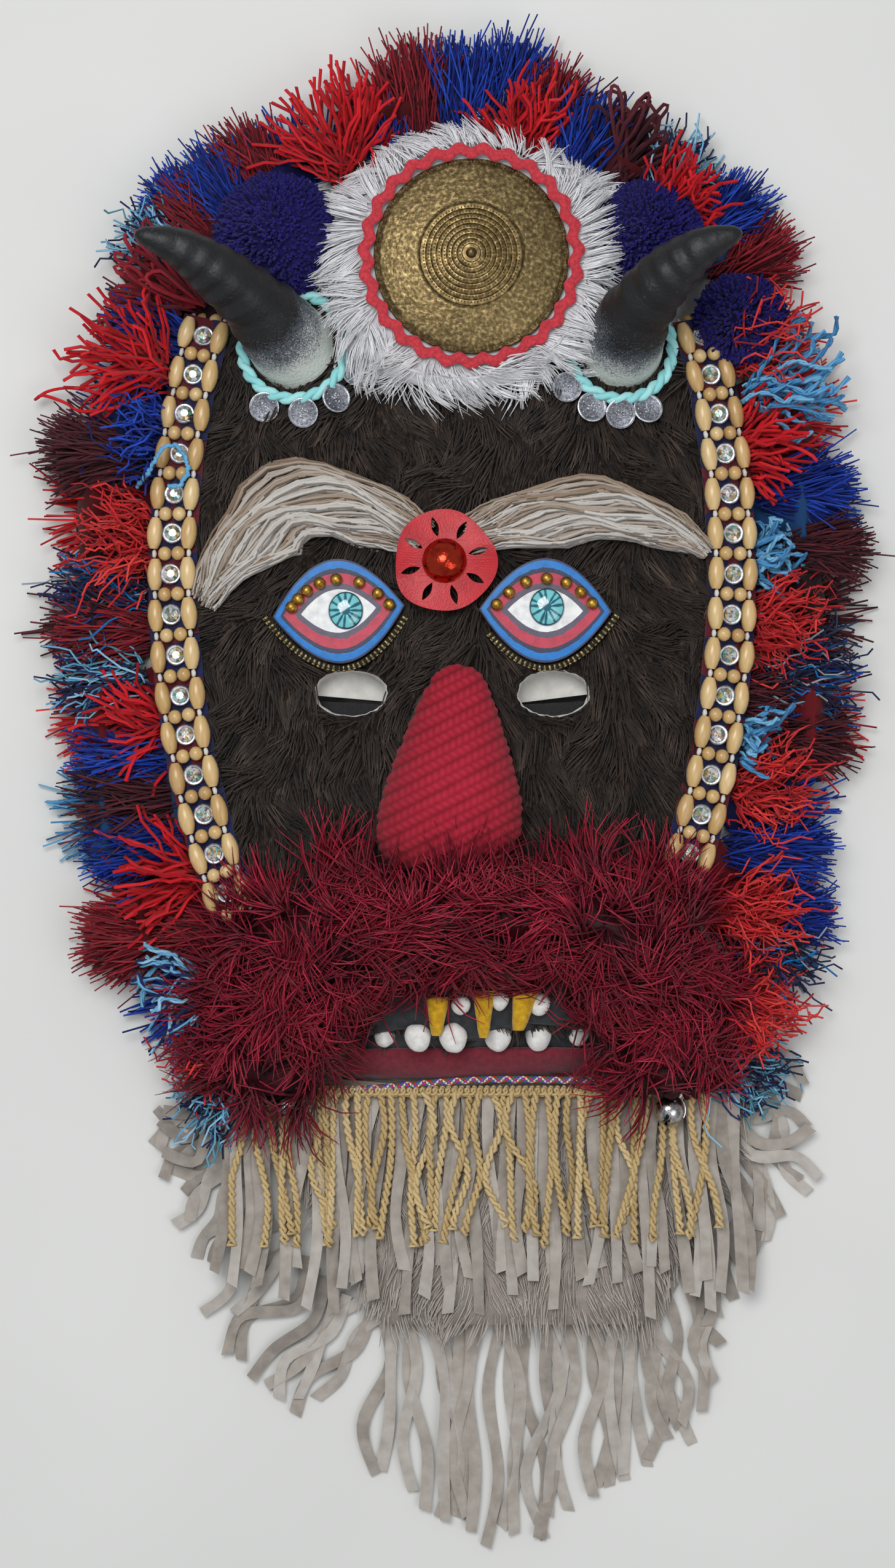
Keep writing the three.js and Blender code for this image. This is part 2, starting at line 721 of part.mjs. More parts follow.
const buttonProfile = [[0, 0], [1, 0], [0.92, 0.4], [0.55, 0.85], [0, 1]];
const buttonBase = [...flowerAt, flowerLevel + flowerThickness + gap];
lay("flower_button", dome(buttonProfile, buttonRadius, buttonRise, 12, buttonBase), looks.copper);

function brow(path, halfWidths, rises) {
  return mound(path, 8, 6, (t) => mixed(halfWidths, t) * rounded(t, 0.12), (t) => mixed(rises, t));
}
lay("brow_left", brow(browLeft, browLeftHalf, browLeftRise), looks.wool);
lay("brow_right", brow(browRight, browRightHalf, browRightRise), looks.wool);

// Mouth: black panel with its glued teeth, and the padded lip below
function mouthPanel() {
  const steps = 10;
  const points = Array.from({ length: steps + 1 }, (_, i) => {
    const turn = (Math.PI * i) / steps;
    const x = mouthAt[0] + mouthHalfWidth * Math.cos(turn);
    return [x, mouthAt[1] + mouthHalfHeight * (2 * Math.sin(turn) - 1)];
  });
  const level = (x, y) => cover(x, y) + nap + mouthThickness;
  const teeth = lowerTeeth.map((x) => {
    const ball = new THREE.IcosahedronGeometry(toothRadius, 0).scale(1, 1.1, 0.8);
    return solidOf(ball.translate(x, lowerTeethY, level(x, lowerTeethY) + toothRadius / 2));
  });
  const gold = fangs.map((x) => {
    const cone = new THREE.CylinderGeometry(fangRadius * 0.6, fangRadius, fangLength, 5);
    return solidOf(cone.translate(x, fangY, level(x, fangY) + fangRadius + fangLift));
  });
  const braces = fangs.map((x) => {
    const y = fangY + fangLength / 3;
    const brace = new THREE.BoxGeometry(fangRadius, fangRadius, 2 * (fangLift + fangRadius));
    return solidOf(brace.translate(x, y, level(x, y) + fangLift / 2));
  });
  return join([solidOf(shaped(plate(points, mouthThickness), onCover)), ...teeth, ...gold, ...braces]);
}

function lowerLip() {
  const bare = new THREE.BoxGeometry(1, 1, 1, 6, 2, 1);
  return solidOf(
    shaped(bare, (v) => {
      const x = THREE.MathUtils.lerp(lipLeft, lipRight, v.x + 0.5);
      const y = THREE.MathUtils.lerp(lipBottom, lipTop, v.y + 0.5);
      const round = 1 - 0.45 * (2 * Math.abs(v.y)) ** 2;
      return new THREE.Vector3(x, y, skin(x, y) + nap + (v.z + 0.5) * lipThickness * round);
    }),
  );
}

// Beard: grey fur panel, suede fringe under its edge, suede fringe over it
const panelSideAt = (top, hem, bulge) => (y) =>
  THREE.MathUtils.lerp(top, hem, ((panelTop - y) / (panelTop - panelHem)) ** bulge);
const panelLeftAt = panelSideAt(panelTopLeft, panelHemLeft, 0.8);
const panelRightAt = panelSideAt(panelTopRight, panelHemRight, 0.9);

// The panel's upper edge follows the shell's rim under the cheeks
function panelTopAt(x) {
  const share = Math.min(1, Math.abs(x) / shellHalfWidth) ** chinSquareness;
  const rim = shellMiddle - shellChin * (1 - share) ** (1 / chinSquareness);
  return Math.min(rim, panelTop + panelClimb) - 3 * gap;
}

function beardPanel() {
  const bare = new THREE.BoxGeometry(1, 1, 1, 4, 3, 1);
  return solidOf(
    shaped(bare, (v) => {
      const t = 0.5 - v.y;
      const middle = THREE.MathUtils.lerp(panelTop, panelHem, t);
      const x = THREE.MathUtils.lerp(panelLeftAt(middle), panelRightAt(middle), v.x + 0.5);
      const y = THREE.MathUtils.lerp(panelTopAt(x), panelHem, t);
      const thickness = panelThickness * (1 - 0.3 * (2 * Math.abs(v.x)) ** 4);
      return new THREE.Vector3(x, y, panelLift + (v.z + 0.5) * thickness);
    }),
  );
}

// One strip or cord of a fringe as outline points, out along one side and back along the other
function tooth(root, turn, length, width) {
  const corners = [[0, -width / 2], [length, -width / 2], [length, width / 2], [0, width / 2]];
  return corners.map(([along, aside]) => turned(along, aside, turn, root));
}

const flat = (points, thickness, low) => solidOf(plate(points, thickness).translate(0, 0, low));

// Suede under the panel's edge: a backing with strips off its left side, its hem and its right side
function lowerFringe() {
  const inset = 4;
  const points = [[panelTopLeft + 3 * inset, panelTop - inset]];
  for (let i = 0; i < sideStrips; i++) {
    const share = (i + 0.5) / sideStrips;
    const y = THREE.MathUtils.lerp(panelTop - 2 * inset, panelHem + 2 * inset, share);
    const length = sideStripLength + sideStripGrowth * share + inset;
    points.push(...tooth([panelLeftAt(y) + inset, y], (-150 + 36 * share) * degrees, length, stripWidth));
  }
  for (let i = 0; i < hemStrips; i++) {
    const share = i / (hemStrips - 1);
    const x = THREE.MathUtils.lerp(panelHemLeft + inset, panelHemRight - inset, share);
    const ragged = 5 * Math.sin(5 * i) - 5;
    const lean = 8 * (share - 0.5) + 2 * Math.sin(4 * i);
    const length = hemStripDrop + inset + ragged;
    points.push(...tooth([x, panelHem + inset], (-90 + lean) * degrees, length, stripWidth));
  }
  for (let i = sideStrips - 1; i >= 0; i--) {
    const share = (i + 0.5) / sideStrips;
    const y = THREE.MathUtils.lerp(panelTop - 2 * inset, panelHem + 2 * inset, share);
    const length = sideStripLength + sideStripGrowth * share + inset;
    points.push(...tooth([panelRightAt(y) - inset, y], (-48 - 34 * share) * degrees, length, stripWidth));
  }
  points.push([panelTopRight - 3 * inset, panelTop - inset]);
  return flat(points, suede, 2 * gap);
}

const upperLevel = panelLift + panelThickness + gap;

function upperFringe() {
  const left = panelTopLeft + 17;
  const right = panelTopRight - 17;
  const points = [[right, panelTop - gap], [left, panelTop - gap]];
  for (let i = 0; i < upperStrips; i++) {
    const share = i / (upperStrips - 1);
    const x = THREE.MathUtils.lerp(left + stripWidth / 2 + gap, right - stripWidth / 2 - gap, share);
    const drop = upperStripDrop + 10 * Math.sin(3 * i) - 26 * Math.abs(2 * share - 1) ** 3;
    const lean = 9 * (share - 0.6);
    points.push(...tooth([x, panelTop - fringeHeader], (-90 + lean) * degrees, drop, stripWidth));
  }
  return flat(points, suede, upperLevel);
}

const bullionLevel = upperLevel + suede + gap;

function bullionFringe() {
  const points = [[fringeRight, fringeTop], [fringeLeft, fringeTop]];
  for (let i = 0; i < fringeCords; i++) {
    const share = i / (fringeCords - 1);
    const x = THREE.MathUtils.lerp(fringeLeft + fringeCordWidth, fringeRight - fringeCordWidth, share);
    const drop = fringeDrop - fringeHeader - 22 * Math.abs(2 * share - 1) ** 4 + 4 * Math.sin(4 * i);
    const lean = 1.2 * Math.sin(1.1 * i);
    points.push(...tooth([x, fringeTop - fringeHeader], (-90 + lean) * degrees, drop, fringeCordWidth));
  }
  return flat(points, fringeThickness, bullionLevel);
}

lay("mouth_panel", mouthPanel(), looks.blackCloth);
lay("lower_lip", lowerLip(), looks.lip);
lay("beard_fringe_lower", lowerFringe(), looks.suede);
lay("beard_fur", beardPanel(), looks.greyFur);
lay("beard_fringe_upper", upperFringe(), looks.suede);
lay("bullion_fringe", bullionFringe(), looks.bullion);

function lipBraid() {
  const y = lipBottom - lipBraidRadius - gap;
  const path = [[lipLeft - 10, y - 1], [(lipLeft + lipRight) / 2, y], [lipRight + 4, y - 1]];
  return mound(path, 6, 4, () => lipBraidRadius, () => 2 * lipBraidRadius, () => bullionLevel);
}
lay("lip_braid", lipBraid(), looks.metallicBraid);

for (const [word, at] of [["left", bellLeftAt], ["right", bellRightAt]]) {
  const ball = new THREE.IcosahedronGeometry(bellRadius, 1);
  const level = bullionLevel + fringeThickness + gap + bellRadius;
  lay("bell_" + word, solidOf(ball.translate(...at, level)), looks.bell);
}

// The moustache lies on the face, and its ends hang over the fringe
function moustacheRoll() {
  const full = (t) => rounded(t, moustacheRounding);
  const base = (x, y) => {
    const overFringe = THREE.MathUtils.clamp((lipTop - y) / (lipTop - lipBottom), 0, 1);
    return THREE.MathUtils.lerp(cover(x, y), bullionLevel + fringeThickness, overFringe) + 3 * nap;
  };
  const rise = (t) => moustacheRise * (0.6 + 0.4 * full(t));
  return mound(moustache, 8, 14, (t) => mixed(moustacheHalf, t) * full(t), rise, base);
}
lay("moustache", moustacheRoll(), looks.crimsonYarn);

// Wreath: tassels side by side along the shell's rim, each a tuft that swells and thins outwards
const rimTurn = (share) => (wreathFrom + (wreathTo - wreathFrom) * share) * degrees;
const rimSamples = 72;
const alongOutline = (reach) =>
  curveOf(
    Array.from({ length: rimSamples + 1 }, (_, i) => {
      const at = outline(rimTurn(i / rimSamples), reach);
      return [at.x, at.y, 0];
    }),
  );
const rimCurve = alongOutline(1);
const furCurve = alongOutline(furEdge);

// A place in the wreath: in from the rim to the fur's edge for out below 0, or out from the rim in mm
function onWreath(share, out) {
  const rim = rimCurve.getPointAt(share);
  if (out < 0) return rim.lerp(furCurve.getPointAt(share), -out);
  const ahead = rimCurve.getTangentAt(share);
  return rim.add(new THREE.Vector3(ahead.y, -ahead.x, 0).multiplyScalar(out));
}

const sideAt = onWreath((pompomSideSlot + 0.5) / tasselNodes, pompomSideOut);
lay("pompom_side", pompom([sideAt.x, sideAt.y], pompomSideRadius), looks.navyYarn);

for (const [side, word] of [[-1, "left"], [1, "right"]]) {
  lay("ladder_tape_" + word, ladderTape(side), looks.tape);
  lay("bead_ladder_" + word, beadLadder(side), looks.wood);
}

const tasselYarns = [
  "royal", "coral", "royal", "coral", "maroon", "sky", "coral", "royal", "sky", "red", "royal",
  "red", "royal", "red", "maroon", "royal", "red", "maroon", "coral", "sky", "red", "royal",
];

function tassel(index) {
  const bare = new THREE.CylinderGeometry(1, 1, 1, tasselSides, 4).rotateX(Math.PI / 2);
  const length = tasselLength + tasselRagged * Math.sin(2.4 * index);
  const root = furPile - nap;
  const heights = [root, root, root, tasselRise * 0.75, tasselRise * 0.4];
  return solidOf(
    shaped(bare, (v) => {
      const step = Math.round(4 * (v.z + 0.5));
      const share = (index + 0.5 + (0.5 - tasselParting) * v.x) / tasselNodes;
      const stations = [-0.93, -0.4, nap, 0.55 * length, length - 5 * v.x * v.x];
      const at = onWreath(THREE.MathUtils.clamp(share, 0, 1), stations[step]);
      const rest = step < 3 ? skin(at.x, at.y) : 0;
      return at.setZ(rest + nap + heights[step] * (0.5 + 0.5 * v.y));
    }),
  );
}

for (let i = 0; i < tasselNodes; i++) {
  if (i === pompomSideSlot) continue;
  const yarn = tasselYarns[i % tasselYarns.length] + "Yarn";
  lay("tassel_" + String(i + 1).padStart(2, "0"), tassel(i), looks[yarn]);
}

// The origin: the middle of the whole mask, on the surface that it lies on
const whole = new THREE.Box3().setFromObject(group);
const middle = whole.getCenter(new THREE.Vector3());
group.position.set(-middle.x, -middle.y, -whole.min.z);

const mask = new THREE.Group();
mask.add(group);

export default mask;
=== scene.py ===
# A kukeri mask lying face up: dark plush over a shallow shell, horns with coin ropes, a brass boss on
# white fur, painted eyes, a knitted nose, a moustache of eyelash yarn, a wreath of yarn tassels and a
# fringed beard.
import math

import bmesh
import bpy
import numpy as np
from mathutils import Matrix, Vector, noise
from mathutils.bvhtree import BVHTree

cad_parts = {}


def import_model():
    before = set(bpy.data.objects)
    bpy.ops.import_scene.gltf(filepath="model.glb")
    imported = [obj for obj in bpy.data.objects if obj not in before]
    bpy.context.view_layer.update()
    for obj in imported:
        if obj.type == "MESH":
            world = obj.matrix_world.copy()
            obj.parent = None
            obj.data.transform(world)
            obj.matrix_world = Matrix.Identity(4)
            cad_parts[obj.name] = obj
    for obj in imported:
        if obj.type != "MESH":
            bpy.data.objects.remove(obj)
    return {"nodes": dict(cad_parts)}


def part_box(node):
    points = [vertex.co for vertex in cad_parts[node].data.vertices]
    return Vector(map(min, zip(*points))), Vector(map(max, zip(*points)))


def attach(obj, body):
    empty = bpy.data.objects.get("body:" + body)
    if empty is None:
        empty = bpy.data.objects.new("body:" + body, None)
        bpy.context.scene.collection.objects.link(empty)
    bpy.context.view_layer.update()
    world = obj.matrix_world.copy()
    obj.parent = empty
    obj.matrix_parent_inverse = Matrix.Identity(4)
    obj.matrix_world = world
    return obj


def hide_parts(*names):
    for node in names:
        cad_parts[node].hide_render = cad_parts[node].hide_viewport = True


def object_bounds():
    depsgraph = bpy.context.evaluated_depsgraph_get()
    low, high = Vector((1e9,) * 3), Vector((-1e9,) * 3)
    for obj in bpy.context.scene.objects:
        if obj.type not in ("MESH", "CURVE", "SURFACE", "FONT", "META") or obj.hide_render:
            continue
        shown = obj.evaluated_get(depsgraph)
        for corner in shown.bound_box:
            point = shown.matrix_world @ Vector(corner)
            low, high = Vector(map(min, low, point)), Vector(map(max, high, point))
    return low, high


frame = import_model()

cad_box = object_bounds()

# Places are drawn in millimetres from the layout's zero, which lies between the eyes and the nose tip.
MM = 0.001
BODY = "root"
SHARP_EDGE = math.radians(55)
BOSS_AT = (8.7, 243.0)
EYE_HOLES = ((-47.0, 42.0), (47.0, 42.0))
HOLE_HALF = (16.5, 10.5)
FLOWER_AT = (-3.6, 102.7)

boss_low, boss_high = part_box("brass_boss")
ORIGIN = np.array((
    (boss_low.x + boss_high.x) / 2 - BOSS_AT[0] * MM,
    (boss_low.y + boss_high.y) / 2 - BOSS_AT[1] * MM,
    0.0,
))


def metres(points):
    return np.asarray(points, float) * MM + ORIGIN


def millimetres(point):
    return (np.asarray(point, float) - ORIGIN) / MM


# Heights of the CAD solids, read from above
def facets(names):
    corners, faces, owners = [], [], []
    for number, name in enumerate(names):
        mesh = frame["nodes"][name].data
        first = len(corners)
        corners += [v.co.copy() for v in mesh.vertices]
        for face in mesh.polygons:
            faces.append([first + v for v in face.vertices])
            owners.append(number)
    return BVHTree.FromPolygons(corners, faces), owners


class Relief:
    """The topmost height in mm of some nodes over a grid, and which of them is on top (-1 for none)."""

    STEP = 1.5

    def __init__(self, names):
        tree, owners = facets(names)
        low, high = millimetres(cad_box[0]), millimetres(cad_box[1])
        self.names = list(names)
        self.low = low[:2]
        counts = np.ceil((high[:2] - low[:2]) / self.STEP).astype(int) + 1
        self.height = np.zeros(counts)
        self.owner = np.full(counts, -1)
        above = cad_box[1].z + 0.01
        down = Vector((0, 0, -1))
        for i in range(counts[0]):
            for j in range(counts[1]):
                x, y = self.low + self.STEP * np.array((i, j))
                spot = metres((x, y, 0.0))
                hit, _, face, _ = tree.ray_cast(Vector((spot[0], spot[1], above)), down)
                if hit:
                    self.height[i, j] = hit.z / MM
                    self.owner[i, j] = owners[face]

    def cell(self, x, y):
        place = (np.stack((x, y), -1) - self.low) / self.STEP
        place = np.clip(place, 0, np.array(self.height.shape) - 1.001)
        return np.floor(place).astype(int), place - np.floor(place)

    def at(self, x, y):
        x, y = np.broadcast_arrays(np.asarray(x, float), np.asarray(y, float))
        cell, part = self.cell(x, y)
        i, j, u, v = cell[..., 0], cell[..., 1], part[..., 0], part[..., 1]
        h = self.height
        low = h[i, j] * (1 - u) + h[i + 1, j] * u
        high = h[i, j + 1] * (1 - u) + h[i + 1, j + 1] * u
        return low * (1 - v) + high * v

    def shows(self, x, y, *names):
        cell, _ = self.cell(np.asarray(x, float), np.asarray(y, float))
        wanted = [self.names.index(name) for name in names]
        return np.isin(self.owner[cell[..., 0], cell[..., 1]], wanted)

    def normal(self, x, y, reach=4.0):
        dx = (self.at(x + reach, y) - self.at(x - reach, y)) / (2 * reach)
        dy = (self.at(x, y + reach) - self.at(x, y - reach)) / (2 * reach)
        out = np.stack((-dx, -dy, np.ones_like(dx)), -1)
        return out / np.linalg.norm(out, axis=-1, keepdims=True)


# Course of the bead ladders: half spread at the widest, the height where it is widest, bow and upper end
LADDER_HALF, LADDER_WIDEST, LADDER_BOW, LADDER_TOP = 131.0, 100.0, 0.00115, 219.0

ground = Relief(["mask_base", "fur_face"])
tapes = Relief(["ladder_tape_left", "ladder_tape_right"])
whole = Relief(sorted(frame["nodes"]))


# Materials
def paint(red, green, blue):
    """A colour given as sRGB steps of 255, in linear light."""
    steps = (c / 255 for c in (red, green, blue))
    return tuple(((c + 0.055) / 1.055) ** 2.4 if c > 0.04 else c / 12.92 for c in steps) + (1.0,)


class Finish:
    """A node material, built up around one Principled shader."""

    def __init__(self, name, rough, metal=0.0, **sockets):
        self.material = bpy.data.materials.new(name)
        self.material.use_nodes = True
        self.tree = self.material.node_tree
        self.shader = self.tree.nodes["Principled BSDF"]
        self.shader.inputs["Roughness"].default_value = rough
        self.shader.inputs["Metallic"].default_value = metal
        for socket, value in sockets.items():
            self.shader.inputs[socket.replace("_", " ")].default_value = value
        self.place = self.tree.nodes.new("ShaderNodeTexCoord").outputs["Object"]

    def link(self, value, socket):
        if isinstance(value, (int, float, tuple)):
            socket.default_value = value
        else:
            self.tree.links.new(value, socket)

    def attribute(self, name="tint"):
        node = self.tree.nodes.new("ShaderNodeAttribute")
        node.attribute_name = name
        return node.outputs["Fac"]

    def noise(self, size, detail=2.0, stretch=(1, 1, 1)):
        """Cloudy noise from 0 to 1, with patches of about this size in mm."""
        turn = self.tree.nodes.new("ShaderNodeMapping")
        turn.inputs["Scale"].default_value = stretch
        self.tree.links.new(self.place, turn.inputs["Vector"])
        node = self.tree.nodes.new("ShaderNodeTexNoise")
        node.inputs["Scale"].default_value = 1 / (size * MM)
        node.inputs["Detail"].default_value = detail
        self.tree.links.new(turn.outputs["Vector"], node.inputs["Vector"])
        return node.outputs["Fac"]

    def cells(self, size):
        """How far the nearest of many points is, with cells of about this size in mm."""
        node = self.tree.nodes.new("ShaderNodeTexVoronoi")
        node.inputs["Scale"].default_value = 1 / (size * MM)
        self.tree.links.new(self.place, node.inputs["Vector"])
        return node.outputs["Distance"]

    def sums(self, kind, first, second, third=None):
        node = self.tree.nodes.new("ShaderNodeMath")
        node.operation = kind
        self.link(first, node.inputs[0])
        self.link(second, node.inputs[1])
        if third is not None:
            self.link(third, node.inputs[2])
        return node.outputs[0]

    def ramp(self, value, stops, steps=False):
        node = self.tree.nodes.new("ShaderNodeValToRGB")
        band = node.color_ramp
        band.interpolation = "CONSTANT" if steps else "LINEAR"
        while len(band.elements) < len(stops):
            band.elements.new(0.5)
        for element, (at, colour) in zip(band.elements, stops):
            element.position = at
            element.color = colour if isinstance(colour, tuple) else (colour, colour, colour, 1)
        self.link(value, node.inputs["Fac"])
        return node.outputs["Color"]

    def mix(self, share, first, second, kind="MIX"):
        node = self.tree.nodes.new("ShaderNodeMix")
        node.data_type = "RGBA"
        node.blend_type = kind
        self.link(share, node.inputs["Factor"])
        self.link(first, node.inputs[6])
        self.link(second, node.inputs[7])
        return node.outputs[2]

    def colour(self, value):
        self.link(value, self.shader.inputs["Base Color"])
        return self

    def roughness(self, value):
        self.link(value, self.shader.inputs["Roughness"])
        return self

    def bump(self, height, depth, strength=1.0):
        """Relief of this depth in mm from a height of 0 to 1."""
        node = self.tree.nodes.new("ShaderNodeBump")
        node.inputs["Distance"].default_value = depth * MM
        node.inputs["Strength"].default_value = strength
        self.link(height, node.inputs["Height"])
        self.tree.links.new(node.outputs["Normal"], self.shader.inputs["Normal"])
        return self


def fibre(name, tones, rough=0.85, sheen=0.06, mottle=0.25, grain=0.7, steps=False):
    """Threads or hair: their tint runs through the tones, from the darkest to the lightest."""
    look = Finish(name, rough, Sheen_Weight=sheen, Sheen_Roughness=0.5, Specular_IOR_Level=0.25)
    shade = look.attribute()
    if mottle:
        cloud = look.sums("MULTIPLY_ADD", look.noise(6.0), 2 * mottle, -mottle)
        shade = look.sums("ADD", shade, cloud)
    stops = [(i / (len(tones) - (0 if steps else 1)), paint(*tone)) for i, tone in enumerate(tones)]
    look.colour(look.ramp(shade, stops, steps))
    look.bump(look.noise(grain, 1.0), 0.25, 0.6)
    return look.material


def yarn(name, deep, plain, light, **more):
    return fibre(name, (deep, plain, light), **more)


ROYAL = yarn("royal_yarn", (8, 16, 70), (18, 48, 150), (40, 84, 200))
NAVY = yarn("navy_pompom_yarn", (12, 9, 48), (27, 21, 98), (40, 34, 128), rough=0.95)
BRIGHT_RED = yarn("bright_red_yarn", (72, 5, 12), (196, 16, 30), (230, 40, 48))
CRIMSON = yarn("crimson_yarn", (62, 12, 22), (132, 24, 38), (172, 42, 54))
MAROON = yarn("maroon_yarn", (34, 12, 20), (74, 24, 34), (108, 42, 50))
CORAL = yarn("coral_yarn", (96, 13, 22), (206, 38, 44), (236, 72, 66))
SKY = yarn("sky_yarn", (24, 62, 106), (80, 152, 204), (130, 192, 226))
MIXED = fibre("mixed_blue_yarn", (
    (20, 22, 52), (30, 36, 84), (18, 60, 140), (24, 26, 60), (0, 112, 184), (44, 60, 92), (34, 40, 80),
    (150, 160, 172),
), mottle=0.0, steps=True)
PALE_BLUE = fibre("pale_blue_yarn", (
    (24, 28, 60), (30, 40, 96), (110, 176, 214), (150, 200, 230), (28, 34, 74), (84, 150, 170),
), mottle=0.0, steps=True)
BROWN_PLUSH = fibre("brown_plush", ((18, 14, 12), (54, 43, 36), (104, 87, 75)), sheen=0.1, mottle=0.3)
WHITE_FUR = fibre("white_fur", ((60, 62, 66), (214, 214, 218), (248, 248, 250)), sheen=0.1, mottle=0.0)
GREY_FUR = fibre("grey_fur", ((106, 98, 91), (180, 170, 161), (216, 209, 202)), sheen=0.1, mottle=0.15)
EYELASH_YARN = fibre("eyelash_yarn", ((42, 5, 14), (142, 16, 44), (214, 50, 82)), rough=0.36, sheen=0.05,
                     mottle=0.18)
WOOL = fibre("brow_wool", (
    (70, 56, 46), (112, 92, 76), (140, 120, 102), (164, 148, 132), (186, 178, 170), (204, 200, 194),
), mottle=0.04, rough=0.9)


# Building meshes, in mm
def bm_piece(name, bm, *materials, smooth=True):
    """A finished object from a mesh drawn in mm."""
    shift = Vector(ORIGIN)
    for v in bm.verts:
        v.co = v.co * MM + shift
    mesh = bpy.data.meshes.new(name)
    bm.to_mesh(mesh)
    bm.free()
    for material in materials:
        mesh.materials.append(material)
    mesh.polygons.foreach_set("use_smooth", [smooth] * len(mesh.polygons))
    if smooth:
        mesh.set_sharp_from_angle(angle=SHARP_EDGE)
    made = bpy.data.objects.new(name, mesh)
    bpy.context.scene.collection.objects.link(made)
    return made


def settle(piece, slot, *nodes):
    """The piece rides on the mask and stands for these CAD nodes, which it hides; the slot is not used."""
    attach(piece, BODY)
    if nodes:
        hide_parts(*nodes)
    return piece


def drawn_from(node):
    """A CAD solid as a merged mesh in mm."""
    bm = bmesh.new()
    bm.from_mesh(frame["nodes"][node].data)
    shift = Vector(ORIGIN)
    for v in bm.verts:
        v.co = (v.co - shift) / MM
    bmesh.ops.remove_doubles(bm, verts=bm.verts, dist=0.01)
    return bm


def wrapped(points, tints=None):
    """A form through rows of points: each row is a ring, and a row shrunk to a point closes an end."""
    points = np.asarray(points, float)
    rows, columns = points.shape[:2]
    bm = bmesh.new()
    bmesh.ops.create_grid(bm, x_segments=columns - 1, y_segments=rows - 1, size=1)
    for v, place in zip(bm.verts, points.reshape(-1, 3)):
        v.co = place
    if tints is not None:
        layer = bm.verts.layers.float.new("tint")
        tints = np.asarray(tints, float).reshape(rows, -1)
        for v, tint in zip(bm.verts, np.broadcast_to(tints, (rows, columns)).reshape(-1)):
            v[layer] = tint
    bmesh.ops.remove_doubles(bm, verts=bm.verts, dist=0.001)
    bmesh.ops.recalc_face_normals(bm, faces=bm.faces)
    return bm


def turned(profile, steps=24, colour=0):
    """A small mesh turned round +Z from pairs of radius and height, from axis to axis."""
    bm = bmesh.new()
    ring = [bm.verts.new((r, 0, z)) for r, z in profile]
    edges = [bm.edges.new(pair) for pair in zip(ring, ring[1:])]
    bmesh.ops.spin(bm, geom=ring + edges, axis=(0, 0, 1), cent=(0, 0, 0), angle=2 * math.pi, steps=steps,
                   use_merge=True)
    bmesh.ops.remove_doubles(bm, verts=bm.verts, dist=0.0001)
    bmesh.ops.recalc_face_normals(bm, faces=bm.faces)
    for face in bm.faces:
        face.material_index = colour
    mesh = bpy.data.meshes.new("turned")
    bm.to_mesh(mesh)
    bm.free()
    return mesh


def ball(radius, steps=1, colour=0, stretch=(1, 1, 1)):
    bm = bmesh.new()
    bmesh.ops.create_icosphere(bm, subdivisions=steps, radius=radius, matrix=Matrix.Diagonal((*stretch, 1)))
    for face in bm.faces:
        face.material_index = colour
    mesh = bpy.data.meshes.new("ball")
    bm.to_mesh(mesh)
    bm.free()
    return mesh


def stamp(bm, pattern, spot):
    """A copy of a small mesh at a 4x4 place."""
    before = len(bm.verts)
    bm.from_mesh(pattern)
    bm.verts.ensure_lookup_table()
    bmesh.ops.transform(bm, matrix=spot, verts=bm.verts[before:])


def put(x, y, z, heading=0.0, tilt=None):
    """A place in mm, turned about +Z, after an optional tilt matrix."""
    turn = Matrix.Translation((x, y, z)) @ Matrix.Rotation(heading, 4, "Z")
    return turn @ tilt if tilt else turn


# Threads: many paths swept at once into closed three-sided tubes
SWEEPS = {}


def sweep_nodes(sides):
    if sides in SWEEPS:
        return SWEEPS[sides]
    group = bpy.data.node_groups.new(f"thread_sweep_{sides}", "GeometryNodeTree")
    group.interface.new_socket("Geometry", in_out="INPUT", socket_type="NodeSocketGeometry")
    group.interface.new_socket("Geometry", in_out="OUTPUT", socket_type="NodeSocketGeometry")
    new, link = group.nodes.new, group.links.new
    start, end = new("NodeGroupInput"), new("NodeGroupOutput")
    curve = new("GeometryNodeMeshToCurve")
    girth = new("GeometryNodeInputNamedAttribute")
    girth.data_type = "FLOAT"
    girth.inputs["Name"].default_value = "girth"
    section = new("GeometryNodeCurvePrimitiveCircle")
    section.inputs["Resolution"].default_value = sides
    section.inputs["Radius"].default_value = 1.0
    sweep = new("GeometryNodeCurveToMesh")
    sweep.inputs["Fill Caps"].default_value = True
    link(start.outputs[0], curve.inputs[0])
    link(curve.outputs[0], sweep.inputs["Curve"])
    link(section.outputs[0], sweep.inputs["Profile Curve"])
    link(girth.outputs["Attribute"], sweep.inputs["Scale"])
    link(sweep.outputs[0], end.inputs[0])
    SWEEPS[sides] = group
    return group


